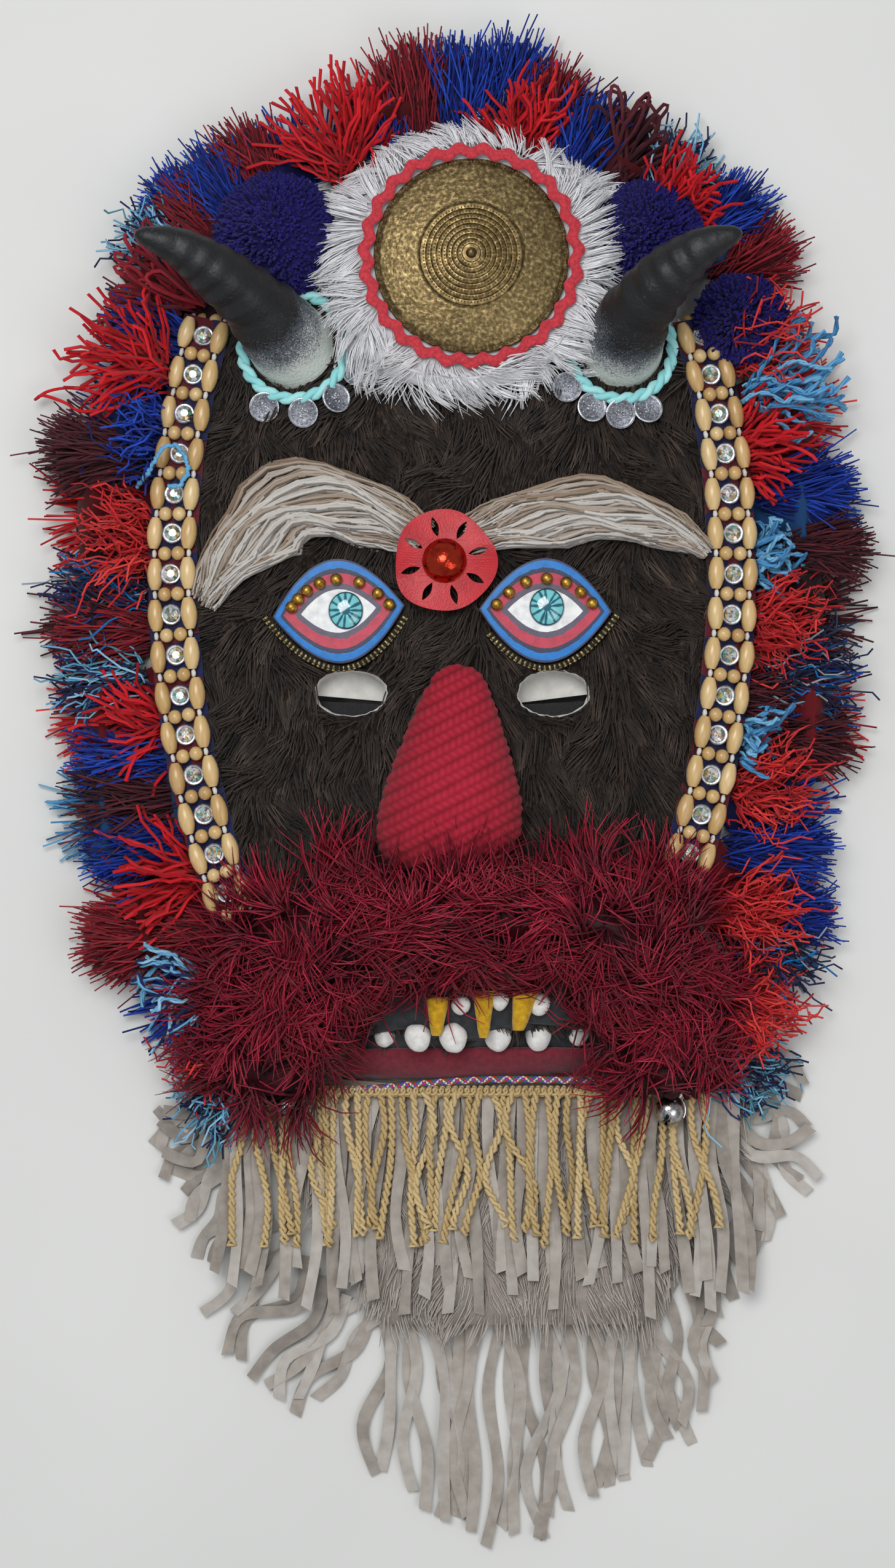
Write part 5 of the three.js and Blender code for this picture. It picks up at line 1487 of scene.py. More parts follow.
def iris(side):
    low, high = (millimetres(c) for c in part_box(f"iris_{side}"))
    rng = np.random.default_rng(81 if side == "left" else 82)
    r, rise = 8.1, high[2] - low[2]
    rows = 16
    leans = np.linspace(0, math.pi / 2 * 0.96, rows)
    profile = [(r * math.sin(a), rise * (math.cos(a) ** 0.9)) for a in leans]
    bm = bmesh.new()
    stamp(bm, turned(profile + [(r, -0.4), (0, -0.4)], 96), Matrix())
    petals = np.linspace(0, 2 * math.pi, 12, endpoint=False) + rng.uniform(-0.12, 0.12, 12)
    reach = rng.uniform(0.6, 0.92, 12)
    tint = bm.verts.layers.float.new("tint")
    for v in bm.verts:
        out, turn = v.co.xy.length / r, math.atan2(v.co.y, v.co.x)
        gaps = np.abs((turn - petals + math.pi) % (2 * math.pi) - math.pi)
        near = int(np.argmin(gaps))
        width = 0.075 * math.sin(math.pi * min(1, max(0, (out - 0.15) / (reach[near] - 0.15)))) + 0.02
        v[tint] = 0.85 if out < 0.22 else max(0.1, 0.92 - 6.0 * max(0.0, gaps[near] - width))
        if out > 0.93:
            v[tint] = 1.0
    centre = np.array(EYES[side][0]) + IRIS_SHIFT[side]
    bmesh.ops.transform(bm, matrix=put(*centre, low[2] - 0.2) @ Matrix.Diagonal((1, 1.08, 1, 1)),
                        verts=bm.verts)
    settle(bm_piece(f"iris_{side}_cabochon", bm, IRIS_GLASS), "iris_glass", f"iris_{side}")


def zipper(side):
    at, tilt = EYES[side]
    turn = math.radians(tilt)
    c, s = math.cos(turn), math.sin(turn)
    lie = np.array(((c, s), (-s, c)))
    bm = bmesh.new()
    tooth = bmesh.new()
    bmesh.ops.create_cube(tooth, size=1, matrix=Matrix.Diagonal((1.35, 2.4, 1.3, 1)))
    tooth_size = Matrix.Translation((0, -1.25, 0.1)) @ Matrix.Diagonal((1.75, 1.0, 1.5, 1))
    bmesh.ops.create_cube(tooth, size=1, matrix=tooth_size)
    bmesh.ops.bevel(tooth, geom=tooth.edges[:], offset=0.22, affect="EDGES", segments=1, profile=0.5,
                    material=-1)
    mesh = bpy.data.meshes.new("zip_tooth")
    tooth.to_mesh(mesh)
    tooth.free()
    path = almond(PLATE_HALF[0] + 4.0, PLATE_HALF[1] + 2.6, 480)[240:]
    path = path @ lie + np.array(at)
    steps = np.concatenate(([0], np.cumsum(np.linalg.norm(np.diff(path, axis=0), axis=1))))
    first, last = (0.0, 0.94) if side == "left" else (0.16, 1.0)
    for gone in np.arange(first * steps[-1], last * steps[-1], 2.35):
        x, y = np.interp(gone, steps, path[:, 0]), np.interp(gone, steps, path[:, 1])
        x2, y2 = np.interp(gone + 1, steps, path[:, 0]), np.interp(gone + 1, steps, path[:, 1])
        z = float(ground.at(x, y)) + 3.1
        stamp(bm, mesh, put(x, y, z, math.atan2(y2 - y, x2 - x)))
    wanted = np.linspace(first, last, 60) * steps[-1]
    x, y = np.interp(wanted, steps, path[:, 0]), np.interp(wanted, steps, path[:, 1])
    spine = np.stack((x, y, ground.at(x, y) + 2.2), -1)
    piece = bm_piece(f"zip_teeth_{side}", bm, ZIP_METAL, ZIP_TAPE)
    band = threads(f"zip_tape_{side}", [(spine[None], 1.4, 0.3)], ZIP_TAPE, sides=6)
    settle(joined(piece, band), "zipper_brass", f"zipper_{side}")


def eye_paint():
    look = Finish("painted_leather", 0.5)
    share = look.sums("ADD", look.attribute(), look.sums("MULTIPLY_ADD", look.noise(3.0), 0.02, -0.01))
    stops = [((row - 0.35) / TINT_STEPS, paint(*tone)) for row, tone in EYE_PAINTS]
    bands = look.ramp(share, [(0.0, paint(58, 62, 84))] + stops, steps=True)
    worn = look.ramp(look.noise(4.0, 3.0), [(0.3, paint(226, 226, 228)), (0.6, paint(255, 255, 255))])
    look.colour(look.mix(1.0, bands, worn, "MULTIPLY"))
    return look.bump(look.noise(0.9, 2.0), 0.12).material


EYE_PAINT = eye_paint()
GOLD_BEAD = metal("gold_bead", (150, 108, 36), (202, 160, 78), 0.28, 2.0)
ZIP_METAL = metal("zipper_antique_brass", (74, 66, 44), (150, 136, 98), 0.34, 1.5)
ZIP_TAPE = fibre("zipper_tape", ((26, 24, 22), (52, 48, 40)), mottle=0.0)
iris_look = Finish("teal_iris_glass", 0.12, Coat_Weight=1.0, Coat_Roughness=0.03)
iris_look.colour(iris_look.ramp(iris_look.attribute(), [
    (0.3, paint(120, 204, 206)), (0.55, paint(84, 172, 182)), (0.75, paint(30, 104, 124)),
    (1.0, paint(20, 72, 92)),
]))
IRIS_GLASS = iris_look.material
for side in EYES:
    eye_plate(side)
    iris(side)
    zipper(side)


# Red flower with slits and a metal button
def leaf(half_length, half_width, steps=9):
    x = np.linspace(-1, 1, steps)
    y = (1 - np.abs(x) ** 1.8) * half_width
    return np.concatenate((np.stack((x * half_length, y), -1),
                           np.stack((x[::-1] * half_length, -y[::-1]), -1)[1:-1]))


def flower():
    low, high = (millimetres(c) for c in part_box("flower"))
    data = bpy.data.curves.new("flower_outline", "CURVE")
    data.dimensions = "2D"
    data.fill_mode = "BOTH"
    data.extrude = 0.5
    data.bevel_depth = 0.1

    def outline(points):
        spline = data.splines.new("POLY")
        spline.points.add(len(points) - 1)
        for point, (x, y) in zip(spline.points, points):
            point.co = (x, y, 0, 1)
        spline.use_cyclic_u = True

    turn = np.arange(120) * 2 * math.pi / 120
    rim = 23.4 * (1 + 0.035 * np.cos(3 * turn + 0.6) + 0.02 * np.cos(5 * turn))
    outline(np.stack((rim * np.cos(turn), rim * np.sin(turn)), -1))
    for i in range(8):
        a = (i + 0.35) * 2 * math.pi / 8
        c, s = math.cos(a), math.sin(a)
        outline((leaf(4.9, 1.75) + (16.2, 0)) @ np.array(((c, s), (-s, c))))
    shape = bpy.data.objects.new("flower_shape", data)
    bpy.context.scene.collection.objects.link(shape)
    mesh = bpy.data.meshes.new_from_object(shape.evaluated_get(bpy.context.evaluated_depsgraph_get()))
    bpy.data.objects.remove(shape)
    bm = bmesh.new()
    bm.from_mesh(mesh)
    bmesh.ops.remove_doubles(bm, verts=bm.verts, dist=0.001)
    for _ in range(2):
        long = [edge for edge in bm.edges if edge.calc_length() > 4.0]
        bmesh.ops.subdivide_edges(bm, edges=long, cuts=1)
        bmesh.ops.triangulate(bm, faces=bm.faces)
    for v in bm.verts:
        out, a = v.co.xy.length, math.atan2(v.co.y, v.co.x)
        v.co.z += 1.6 * math.sin(3 * a + 0.4) * (out / 23) ** 2 + 0.6 * math.sin(5 * a) * (out / 23) ** 3
    bmesh.ops.translate(bm, verts=bm.verts, vec=(*FLOWER_AT, (low[2] + high[2]) / 2 + 0.4))
    bmesh.ops.recalc_face_normals(bm, faces=bm.faces)
    settle(bm_piece("flower_of_leather", bm, FLOWER_LEATHER, smooth=False), "red_leather", "flower")


def flower_button():
    low, high = (millimetres(c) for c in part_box("flower_button"))
    r, rise = 9.8, high[2] - low[2]
    profile = [(r * math.sin(a), rise * math.cos(a)) for a in np.linspace(0, math.pi / 2 * 0.9, 12)]
    bm = bmesh.new()
    stamp(bm, turned(profile + [(r + 0.4, 0.9), (r + 0.5, 0.1), (0, 0.1)], 56), Matrix())
    middle = (low + high) / 2
    bmesh.ops.transform(bm, matrix=put(middle[0], middle[1], low[2]), verts=bm.verts)
    for v in bm.verts:
        v.co.z += 0.25 * noise.noise(v.co / 4.0)
    settle(bm_piece("button_of_red_metal", bm, BUTTON_METAL), "red_metal", "flower_button")


flower_look = Finish("red_leatherette", 0.42, Specular_IOR_Level=0.4)
flower_look.colour(flower_look.ramp(flower_look.noise(9.0, 3.0),
                                    [(0.3, paint(172, 24, 36)), (0.7, paint(198, 38, 48))]))
FLOWER_LEATHER = flower_look.bump(flower_look.cells(0.9), 0.1).material
button_look = Finish("copper_red_metal", 0.16, 1.0)
button_look.colour(button_look.ramp(button_look.noise(7.0, 2.0),
                                    [(0.35, paint(150, 26, 22)), (0.6, paint(190, 60, 40))]))
BUTTON_METAL = button_look.bump(button_look.noise(3.0), 0.3).material
flower()
flower_button()


# Knitted nose
NOSE_TOP, NOSE_TIP = (3.0, 55.0), (-3.0, -41.0)
NOSE_HALVES = [9, 17, 23, 28.5, 33, 34, 24]
NOSE_RISES = [5, 17, 28, 37, 42, 36, 18]


def nose():
    rows, columns = 134, 108
    share = np.linspace(0, 1, rows)[:, None]
    turn = np.linspace(-0.12, math.pi + 0.12, columns)[None]
    stations = np.linspace(0, 1, 7)
    half = np.interp(share, stations, NOSE_HALVES)
    rise = np.interp(share, stations, NOSE_RISES)
    kernel = np.ones(13) / 13
    for values in (half, rise):
        padded = np.pad(values[:, 0], 6, mode="edge")
        values[:, 0] = np.convolve(padded, kernel, mode="valid")
        values *= np.sqrt(np.clip(1 - (np.maximum(share - 0.93, 0) / 0.072) ** 2, 0.02, 1))
        values *= np.sqrt(np.clip(1 - (np.maximum(0.07 - share, 0) / 0.072) ** 2, 0.02, 1))
    across = -np.cos(turn) * half
    up = np.maximum(np.sin(turn), -0.1) ** 1.0 * rise
    y = NOSE_TOP[1] + share * (NOSE_TIP[1] - NOSE_TOP[1]) + share**2 * across * 0.08
    x = NOSE_TOP[0] + share * (NOSE_TIP[0] - NOSE_TOP[0]) + across + 4 * np.maximum(np.sin(turn), 0) * share
    z = ground.at(x, y) + 1.5 + up
    shape = np.stack((x, y, z), -1)
    du, dv = np.gradient(shape, axis=0), np.gradient(shape, axis=1)
    out = np.cross(dv, du)
    out /= np.maximum(np.linalg.norm(out, axis=-1, keepdims=True), 1e-6)
    out *= np.sign(out[rows // 2, columns // 2, 2])
    lean = math.radians(27)
    course = (y * math.cos(lean) - x * math.sin(lean)) / 4.6
    wale = (x * math.cos(lean) + y * math.sin(lean)) / 3.4
    ribs = np.abs(np.sin(math.pi * course)) ** 0.6
    zigzag = np.sign(np.sin(math.pi * course)) * (course % 1)
    stitch = 0.5 + 0.5 * np.sin(2 * math.pi * (wale + 0.5 * zigzag))
    knit = 1.15 * ribs * (0.55 + 0.45 * stitch) + 0.25 * np.sin(math.pi * course / 2) ** 2
    shape += out * (knit - 0.7)[..., None]
    end = shape[-1].mean(0)
    start = shape[0].mean(0)
    shape = np.concatenate((np.broadcast_to(start, (1, columns, 3)), shape,
                            np.broadcast_to(end, (1, columns, 3))))
    # Painted shade: the knit's tint follows its relief, lighter on the ridges and darker in the grooves,
    # and darkest at the two closed ends.
    tints = np.concatenate((np.zeros((1, columns)), np.clip(0.2 + 0.65 * knit / 1.4, 0, 1),
                            np.zeros((1, columns))))
    bm = wrapped(shape, tints)
    bmesh.ops.holes_fill(bm, edges=[e for e in bm.edges if e.is_boundary])
    bmesh.ops.triangulate(bm, faces=[f for f in bm.faces if len(f.verts) > 4])
    bmesh.ops.recalc_face_normals(bm, faces=bm.faces)
    settle(bm_piece("nose_of_knit", bm, NOSE_KNIT), "nose_knit", "nose")


NOSE_KNIT = fibre("nose_knit", ((76, 8, 20), (156, 24, 44), (192, 44, 66)), mottle=0.12, grain=0.6)
nose()


# Mouth: black panel, clay teeth, felt fangs, felt lip and its metallic braid
MOUTH_AT, MOUTH_HALF = (16.0, -108.0), (64.0, 20.0)
LOWER_TEETH = [(-31.7, 5.4, 1.0), (-16, 6.2, 1.1), (0.4, 6.4, 1.12), (21.5, 6.4, 1.15), (40.4, 6.2, 1.15),
               (59.4, 5.0, 0.95)]
LOWER_TEETH_Y = -118.5
UPPER_TEETH = [(40.4, -102.5, 5.4), (4.0, -103.0, 4.6), (22.0, -101.0, 4.4)]
FANGS = [(-7.0, -108.0, 9.5, 18.0, 0.05), (14.6, -107.0, 9.0, 22.0, 0.0), (32.8, -104.0, 11.5, 21.0, 0.2)]


def mouth_level(x, y):
    return float(ground.at(x, y)) + 3.8


def mouth():
    rng = np.random.default_rng(91)
    leans = np.linspace(0, math.pi, 49)
    arc = [(MOUTH_HALF[0] * math.cos(a), MOUTH_HALF[1] * (2 * math.sin(a) - 1)) for a in leans]
    floor = [(x, -MOUTH_HALF[1]) for x in np.linspace(-MOUTH_HALF[0], MOUTH_HALF[0], 25)[1:]]
    outline = np.array(arc + floor)
    rows = []
    for size, lift in ((0, 0), (0.25, 0), (0.5, 0), (0.75, 0), (1, 0), (1, -2), (0.5, -2), (0, -2)):
        flat = outline * size + MOUTH_AT
        rows.append([(x, y, mouth_level(x, y) + lift) for x, y in flat])
    panel = bpy.data.meshes.new("mouth_panel_cloth")
    cloth = wrapped(rows)
    cloth.to_mesh(panel)
    cloth.free()
    bm = bmesh.new()
    stamp(bm, panel, Matrix())

    def clay(x, y, size, tall):
        lump = ball(size, 3, 1, (0.98, tall, 0.8))
        before = len(bm.verts)
        stamp(bm, lump, put(x, y, mouth_level(x, y) + size * 0.45, rng.uniform(-0.15, 0.15)))
        bm.verts.ensure_lookup_table()
        for v in bm.verts[before:]:
            shift = Vector((x, y, 0)) * 0.37
            outwards = (v.co - Vector((x, y, mouth_level(x, y)))).normalized()
            v.co += outwards * 0.7 * noise.noise(v.co / 4.2 + shift)
            v.co.x += 0.12 * (v.co.y - y) * (v.co.x - x) / size

    for x, size, tall in LOWER_TEETH:
        clay(x, LOWER_TEETH_Y, size, tall)
    for x, y, size in UPPER_TEETH:
        clay(x, y, size, 1.0)
    for x, y, width, length, lean in FANGS:
        rings = []
        for t in np.linspace(0, 1, 14):
            wide = width / 2 * (1.0 - 0.28 * t - (0.25 * max(0, t - 0.8) / 0.2))
            row = []
            for a in np.linspace(0, 2 * math.pi, 21):
                fold = 1 + 0.14 * math.cos(2 * a + 4 * t)
                px = x + wide * fold * math.cos(a) + lean * (0.5 - t) * length
                py = y + length * (0.5 - t)
                bulge = wide * 0.62 * fold * math.sin(a)
                pz = mouth_level(x, y) + 4.6 + bulge + 1.5 * math.sin(math.pi * t)
                row.append((px, py, pz))
            rings.append(row)
        rings = [[tuple(np.mean(rings[0], 0))] * 21] + rings + [[tuple(np.mean(rings[-1], 0))] * 21]
        felt = wrapped(rings)
        for f in felt.faces:
            f.material_index = 2
        mesh = bpy.data.meshes.new("fang")
        felt.to_mesh(mesh)
        felt.free()
        stamp(bm, mesh, Matrix())
    settle(bm_piece("mouth_and_teeth", bm, MOUTH_BLACK, TOOTH_CLAY, FANG_FELT), "tooth", "mouth_panel")


def lip():
    rows, columns = 60, 25
    left, right, top, bottom = -50.0, 84.0, -125.0, -140.5
    ring = []
    for u in np.linspace(0, 1, rows):
        x = left + (right - left) * u
        row = []
        for a in np.linspace(0, 2 * math.pi, columns):
            swell = math.copysign(abs(math.cos(a)) ** 0.55, math.cos(a))
            y = (top + bottom) / 2 + (top - bottom) / 2 * swell
            sag = 1.2 * math.sin(math.pi * u)
            lift = 3.5 * math.copysign(abs(math.sin(a)) ** 0.6, math.sin(a)) + 3.6
            z = float(ground.at(x, y)) + 1.6 + lift + 0.5 * noise.noise(Vector((x, y, 0)) / 12)
            row.append((x, y + sag, z))
        ring.append(row)
    ring = [[tuple(np.mean(ring[0], 0))] * columns] + ring + [[tuple(np.mean(ring[-1], 0))] * columns]
    settle(bm_piece("lip_of_felt", wrapped(ring), LIP_FELT), "lip_felt", "lower_lip")


def lip_braid():
    left, right, level = -60.0, 88.0, 19.4
    t = np.linspace(0, 1, 250)
    x = left + (right - left) * t
    y = -142.4 + 3.0 * np.sin(math.pi * (x - left) / (right - left)) ** 2 + 0.035 * (x - 14)
    waves, strands = 19, 4
    bunches = []
    for k in range(strands):
        turn = 2 * math.pi * (waves * t + k / strands)
        path = np.stack((x, y + 1.15 * np.sin(turn), level + 0.6 * np.cos(2 * turn)), -1)
        bunches.append((path[None], 0.66, (k + 0.5) / strands))
    settle(threads("braid_under_lip", bunches, LIP_BRAID, sides=4), "metallic_braid", "lip_braid")


def felt_material(name, deep, plain, rough=0.95):
    look = Finish(name, rough, Sheen_Weight=0.3)
    look.colour(look.ramp(look.noise(2.5, 4.0), [(0.3, paint(*deep)), (0.7, paint(*plain))]))
    return look.bump(look.noise(0.7, 3.0), 0.2).material


MOUTH_BLACK = felt_material("mouth_black_cloth", (24, 26, 30), (42, 46, 52), 0.7)
TOOTH_CLAY = felt_material("white_clay", (214, 212, 208), (238, 237, 234), 0.7)
FANG_FELT = felt_material("yellow_felt", (176, 128, 6), (214, 170, 18))
LIP_FELT = felt_material("lip_felt", (98, 20, 36), (124, 30, 48))
LIP_BRAID = fibre("metallic_plait", ((196, 40, 36), (226, 218, 196), (112, 70, 190), (40, 120, 84)),
                  mottle=0.25, rough=0.3, sheen=0.0, steps=True)
mouth()
lip()
lip_braid()


# Bullion fringe: twisted cords that hang as loops from a crocheted header
BULLION_LEFT, BULLION_RIGHT, BULLION_TOP, BULLION_DROP = -100.0, 121.0, -145.0, 71.0
BULLION_CORDS = 42


def bullion():
    rng = np.random.default_rng(101)
    t = np.linspace(0, 1, 34)
    bunches = []
    for i in range(BULLION_CORDS):
        x0 = BULLION_LEFT + (BULLION_RIGHT - BULLION_LEFT) * (i + 0.5) / BULLION_CORDS
        drop = BULLION_DROP * rng.uniform(0.88, 1.03)
        lean, sway = rng.normal(0, 6.5), rng.normal(0, 2.4)
        x = x0 + lean * t**1.3 + sway * np.sin(math.pi * t * rng.uniform(1.2, 2.6))
        x = np.clip(x, -104, 126)
        y = BULLION_TOP - drop * t
        z = 18.2 + rng.uniform(0, 3.6) + 1.2 * np.sin(math.pi * t * 2 + rng.uniform(0, 6)) - 1.5 * t
        middle = np.stack((x, y, z), -1)[None]
        open_out = 1.15 + 0.9 * np.clip((t - 0.93) / 0.07, 0, 1)
        one, two = plied(middle, open_out[None, :, None], 9 * drop / BULLION_DROP, rng)
        loop = np.concatenate((one, two[:, ::-1]), 1)
        bunches.append((loop, 1.12, rng.uniform(0.35, 0.8)))
    u = np.linspace(0, 1, 600)
    for row, (size, lift) in enumerate(((2.3, 0.0), (1.5, 1.4))):
        turn = 2 * math.pi * 74 * u + row
        x = BULLION_LEFT - 1 + (BULLION_RIGHT - BULLION_LEFT + 2) * u - 1.5 * np.sin(turn)
        y = BULLION_TOP + 0.2 + size * np.cos(turn)
        z = 18.6 + lift + 0.8 * np.sin(2 * turn)
        bunches.append((np.stack((x, y, z), -1)[None], 0.8, 0.55))
    settle(threads("bullion_cords", bunches, BULLION_CORD, sides=4), "bullion", "bullion_fringe")


# Sleigh bells
BELL_RADIUS = 7.3
BELL_AT = {"left": (-77.0, -150.0, 26.0), "right": (102.0, -153.0, 26.0)}
BELL_SLOT = (1.1, 7.0)


def bell(side):
    bm = bmesh.new()
    bmesh.ops.create_uvsphere(bm, u_segments=40, v_segments=24, radius=BELL_RADIUS)
    slot = []
    for face in bm.faces:
        middle = face.calc_center_median()
        if abs(middle.x) < BELL_SLOT[0] and abs(middle.z) < BELL_SLOT[1] and middle.y < -1.0:
            slot.append(face)
    made = bmesh.ops.inset_region(bm, faces=slot, thickness=0.15, depth=-1.4, use_even_offset=True)
    # The sunken slot takes the near-black finish, as painted shade inside the bell.
    for face in slot:
        face.material_index = 1
    for face in made["faces"]:
        face.material_index = 1
    band = turned([(BELL_RADIUS - 0.3, -0.5), (BELL_RADIUS + 0.35, -0.35), (BELL_RADIUS + 0.35, 0.35),
                   (BELL_RADIUS - 0.3, 0.5), (BELL_RADIUS - 0.3, -0.5)], 40)
    stamp(bm, band, Matrix.Rotation(math.pi / 2, 4, "X"))
    ear = turned([(1.0, -0.4), (1.9, -0.4), (1.9, 0.4), (1.0, 0.4), (1.0, -0.4)], 16)
    stamp(bm, ear, Matrix.Translation((0, BELL_RADIUS + 0.9, 0)))
    bmesh.ops.transform(bm, matrix=put(*BELL_AT[side], 0.3 if side == "left" else -0.5), verts=bm.verts)
    settle(bm_piece(f"bell_{side}_turned", bm, BELL_METAL, BELL_SLOT_SHADE), "bell_metal", f"bell_{side}")


# Suede strips over, under and below the fur panel
SUEDE_WIDTH = 5.6
LEFT_ROOTS = [(-108, -142), (-104, -175), (-84, -208), (-54, -240), (-32, -252)]
LEFT_TIPS = [(-139, -170), (-133, -200), (-112, -240), (-90, -288), (-64, -303)]
RIGHT_ROOTS = [(140, -142), (134, -175), (122, -208), (106, -236), (92, -252)]
RIGHT_TIPS = [(168, -190), (152, -212), (132, -240), (120, -290), (92, -316)]


def strip(bm, rng, root, tip, level, bow=0.1, width=SUEDE_WIDTH):
    """A cut strip of suede from root to tip, bowed aside and rippled, with a slanting end."""
    root, tip = np.array(root, float), np.array(tip, float)
    ahead = tip - root
    aside = np.array((-ahead[1], ahead[0]))
    path = along([root, root + 0.33 * ahead + bow * rng.uniform(-1, 1) * aside,
                  root + 0.7 * ahead + bow * rng.uniform(-1, 1) * aside, tip], np.linspace(0, 1, 18))
    step = np.gradient(path, axis=0)
    step /= np.linalg.norm(step, axis=1, keepdims=True)
    side = np.stack((-step[:, 1], step[:, 0]), -1)
    t = np.linspace(0, 1, 18)
    twist = rng.uniform(0.15, 0.55) * np.sin(math.pi * t * rng.uniform(1.0, 3.0) + rng.uniform(0, 6.2))
    height = level + 1.1 * np.sin(math.pi * t * rng.uniform(1.5, 3.5) + rng.uniform(0, 6.2)) * t
    half = width / 2 * (1 + 0.08 * np.sin(9 * t + rng.uniform(0, 6)))
    slant = rng.uniform(-0.5, 0.5) * width
    rings = []
    for i in range(18):
        shift = step[i] * slant * (i == 17)
        corners = []
        for across, up in ((-1, -0.5), (1, -0.5), (1, 0.5), (-1, 0.5), (-1, -0.5)):
            place = path[i] + side[i] * across * half[i] * math.cos(twist[i]) + shift * across * 0.5
            rise = height[i] + across * half[i] * math.sin(twist[i]) + up * 1.1
            corners.append((*place, max(rise, 0.7 + 0.6 * up)))
        rings.append(corners)
    rings = [[tuple(np.mean(rings[0][:4], 0))] * 5] + rings + [[tuple(np.mean(rings[-1][:4], 0))] * 5]
    made = wrapped(rings, np.full(20, rng.uniform(0.25, 0.8)))
    mesh = bpy.data.meshes.new("strip")
    made.to_mesh(mesh)
    made.free()
    stamp(bm, mesh, Matrix())
    bpy.data.meshes.remove(mesh)


def suede():
    rng = np.random.default_rng(111)
    upper = bmesh.new()
    upper.verts.layers.float.new("tint")
    for i in range(46):
        x = -104 + 237 * i / 45
        tip = (x + 0.06 * (x - 15) + rng.normal(0, 4), -rng.uniform(226, 252))
        tip = (min(max(tip[0], -122), 148), tip[1])
        strip(upper, rng, (x, -146), tip, 14.2 + rng.uniform(0, 2.6), 0.05)
    settle(bm_piece("beard_strips_upper", upper, SUEDE), "suede", "beard_fringe_upper")
    lower = bmesh.new()
    lower.verts.layers.float.new("tint")
    for roots, tips, count in ((LEFT_ROOTS, LEFT_TIPS, 22), (RIGHT_ROOTS, RIGHT_TIPS, 19)):
        for share in np.linspace(0, 1, count):
            root, tip = along(roots, [share])[0], along(tips, [share])[0]
            strip(lower, rng, root, tip + rng.normal(0, 3.5, 2), rng.uniform(1.5, 4.5), 0.16)
    for side, x in ((-1, -116), (1, 148)):
        for i in range(5):
            tip = (x + side * rng.uniform(14, 27), -146 - 8 * i + rng.normal(0, 4))
            strip(lower, rng, (x - side * 14, -140 - 5 * i), tip, rng.uniform(2, 8), 0.5)
    for i in range(25):
        x = -34 + 130 * i / 24
        tip = (x + rng.normal(0, 6), -366 + 0.009 * (x - 25) ** 2 + rng.uniform(0, 16))
        strip(lower, rng, (x, -250), tip, rng.uniform(1.4, 4.5), 0.09)
    settle(bm_piece("beard_strips_lower", lower, SUEDE), "suede", "beard_fringe_lower")


def suede_material():
    look = Finish("grey_suede", 0.95, Sheen_Weight=0.35, Sheen_Roughness=0.6, Specular_IOR_Level=0.15)
    shade = look.sums("ADD", look.attribute(), look.sums("MULTIPLY_ADD", look.noise(7.0, 4.0), 0.9, -0.45))
    look.colour(look.ramp(shade, [(0.1, paint(134, 126, 118)), (0.5, paint(166, 158, 149)),
                                  (0.9, paint(190, 184, 177))]))
    return look.bump(look.noise(0.9, 3.0), 0.2).material


BULLION_CORD = fibre("bullion_cord", ((140, 112, 68), (196, 170, 120), (220, 198, 152)), mottle=0.12,
                     rough=0.7)
BELL_METAL = metal("bell_nickel", (120, 112, 110), (214, 212, 214), 0.14, 4.0)
# Near black, as painted shade inside the bell's slot.
BELL_SLOT_SHADE = Finish("bell_slot_painted_shade", 0.8).colour(paint(16, 14, 14)).material
SUEDE = suede_material()
bullion()
for side in BELL_AT:
    bell(side)
suede()


# Cut edge of the board round the eye holes, and the white lining behind their upper halves
LINING_SLOPES = (-5, 7)


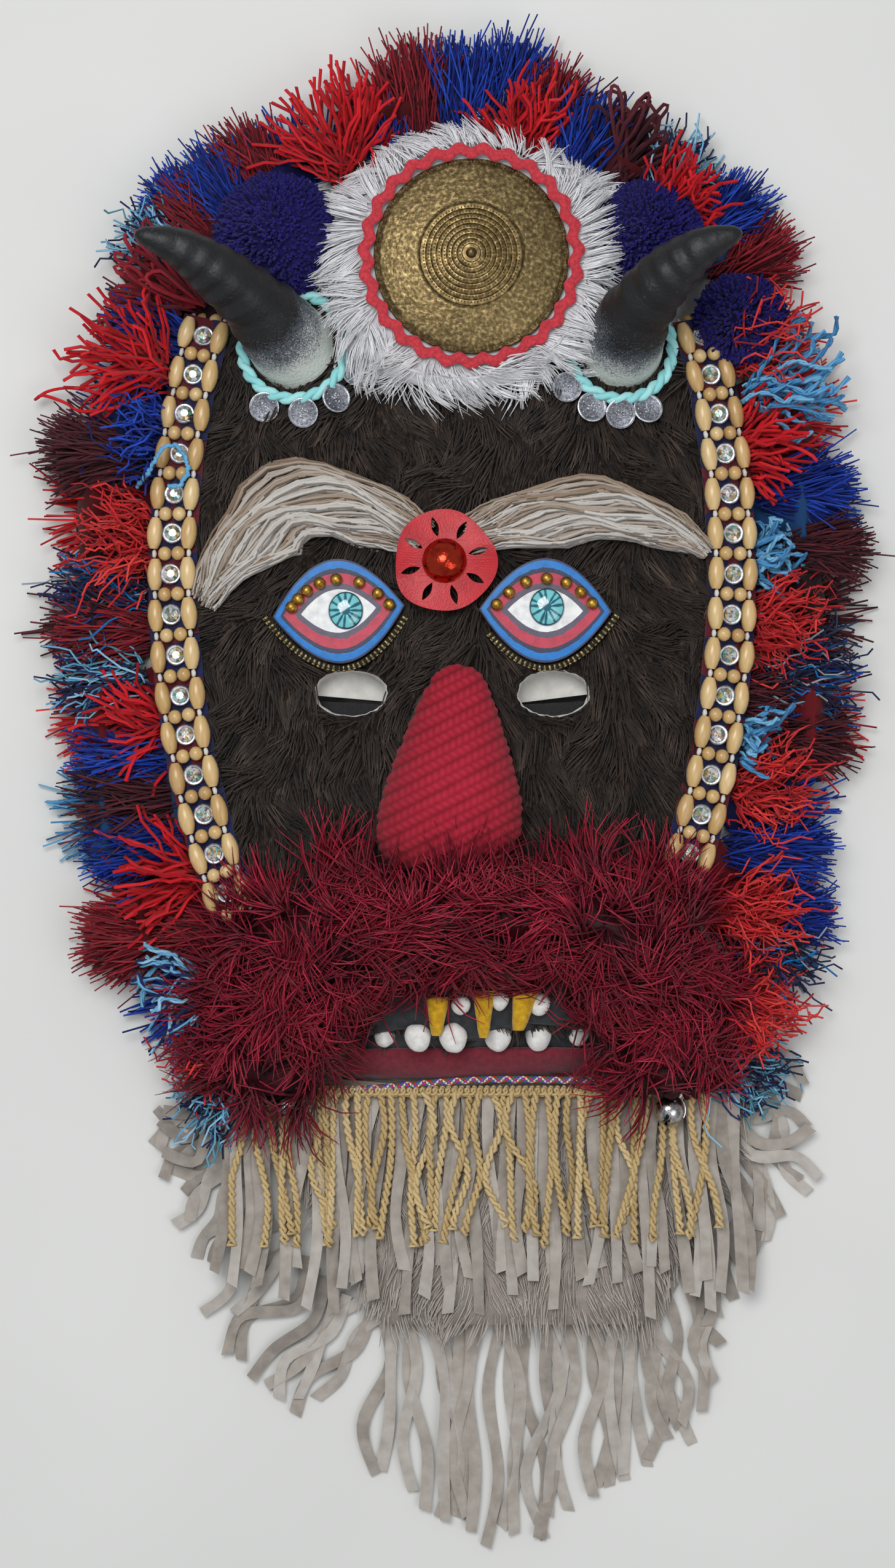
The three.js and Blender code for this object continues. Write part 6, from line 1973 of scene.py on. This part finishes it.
def hole_edge(number, hole):
    rng = np.random.default_rng(120 + number)
    turn = np.linspace(0, 2 * math.pi, 97)
    fray = 1.0 + 0.03 * np.interp(turn, np.linspace(0, 2 * math.pi, 40),
                                  np.append(rng.uniform(-1.5, 1.5, 39), 0))
    rows = []
    for a, f in zip(turn, fray):
        x0, y0 = HOLE_HALF[0] * math.cos(a), HOLE_HALF[1] * math.sin(a)
        z = float(ground.at(hole[0] + 1.35 * x0, hole[1] + 1.35 * y0))
        profile = ((1.12, -9.0), (1.12, 0.4), (1.035 * f, 0.4), (1.0 * f, -0.4), (0.985, -9.0),
                   (1.12, -9.0))
        rows.append([(hole[0] + x0 * k, hole[1] + y0 * k, z + up) for k, up in profile])
    rows[-1] = rows[0]
    bm = wrapped(rows)
    for face in bm.faces:
        middle = face.calc_center_median()
        face.material_index = int(outside_hole(middle.x, middle.y, hole, 1.09))
    slope = Matrix.Rotation(math.radians(LINING_SLOPES[number - 1]), 4, "Z")
    lining = Matrix.Translation((hole[0], hole[1] + 7.5, 29.0)) @ slope @ Matrix.Diagonal((46, 19, 1.2, 1))
    bmesh.ops.create_cube(bm, size=1, matrix=lining)
    settle(bm_piece(f"cut_edge_{number}", bm, BOARD, PLUSH_SKIN), "board")


for number, hole in enumerate(EYE_HOLES, 1):
    hole_edge(number, hole)


# Floor, lights and camera
CAMERA_AT = (-2.2, 0.0, 1540.0)
LENS = 74.1


def floor_material():
    look = Finish("pale_floor", 0.6, Specular_IOR_Level=0.25)
    cloud = look.noise(260.0, 2.0)
    look.colour(look.ramp(cloud, [(0.3, paint(220, 220, 217)), (0.7, paint(228, 228, 225))]))
    return look.material


def stage():
    bm = bmesh.new()
    bmesh.ops.create_grid(bm, x_segments=2, y_segments=2, size=2600)
    floor = bm_piece("floor", bm, floor_material(), smooth=False)


def lamp(name, at, size, power, colour=(1, 1, 1)):
    light = bpy.data.lights.new(name, "AREA")
    light.shape = "RECTANGLE"
    light.size, light.size_y = (s * MM for s in size)
    light.energy = power
    light.color = colour
    made = bpy.data.objects.new(name, light)
    bpy.context.scene.collection.objects.link(made)
    made.location = metres(at)
    aim = Vector(metres((0, 0, 0))) - made.location
    made.rotation_euler = aim.to_track_quat("-Z", "Y").to_euler()


def camera():
    data = bpy.data.cameras.new("camera")
    data.sensor_width = 36
    data.lens = LENS
    data.clip_end = 20
    made = bpy.data.objects.new("camera", data)
    bpy.context.scene.collection.objects.link(made)
    made.location = metres(CAMERA_AT)
    bpy.context.scene.camera = made


def world():
    made = bpy.data.worlds.new("pale_room")
    bpy.context.scene.world = made
    made.use_nodes = True
    sky = made.node_tree.nodes["Background"]
    sky.inputs["Color"].default_value = (0.93, 0.96, 1.0, 1)
    sky.inputs["Strength"].default_value = 0.4


stage()
lamp("key", (-300, 500, 1700), (900, 700), 17)
lamp("fill", (700, -500, 1400), (900, 900), 4)
camera()
world()
bpy.context.scene.view_settings.view_transform = "Standard"
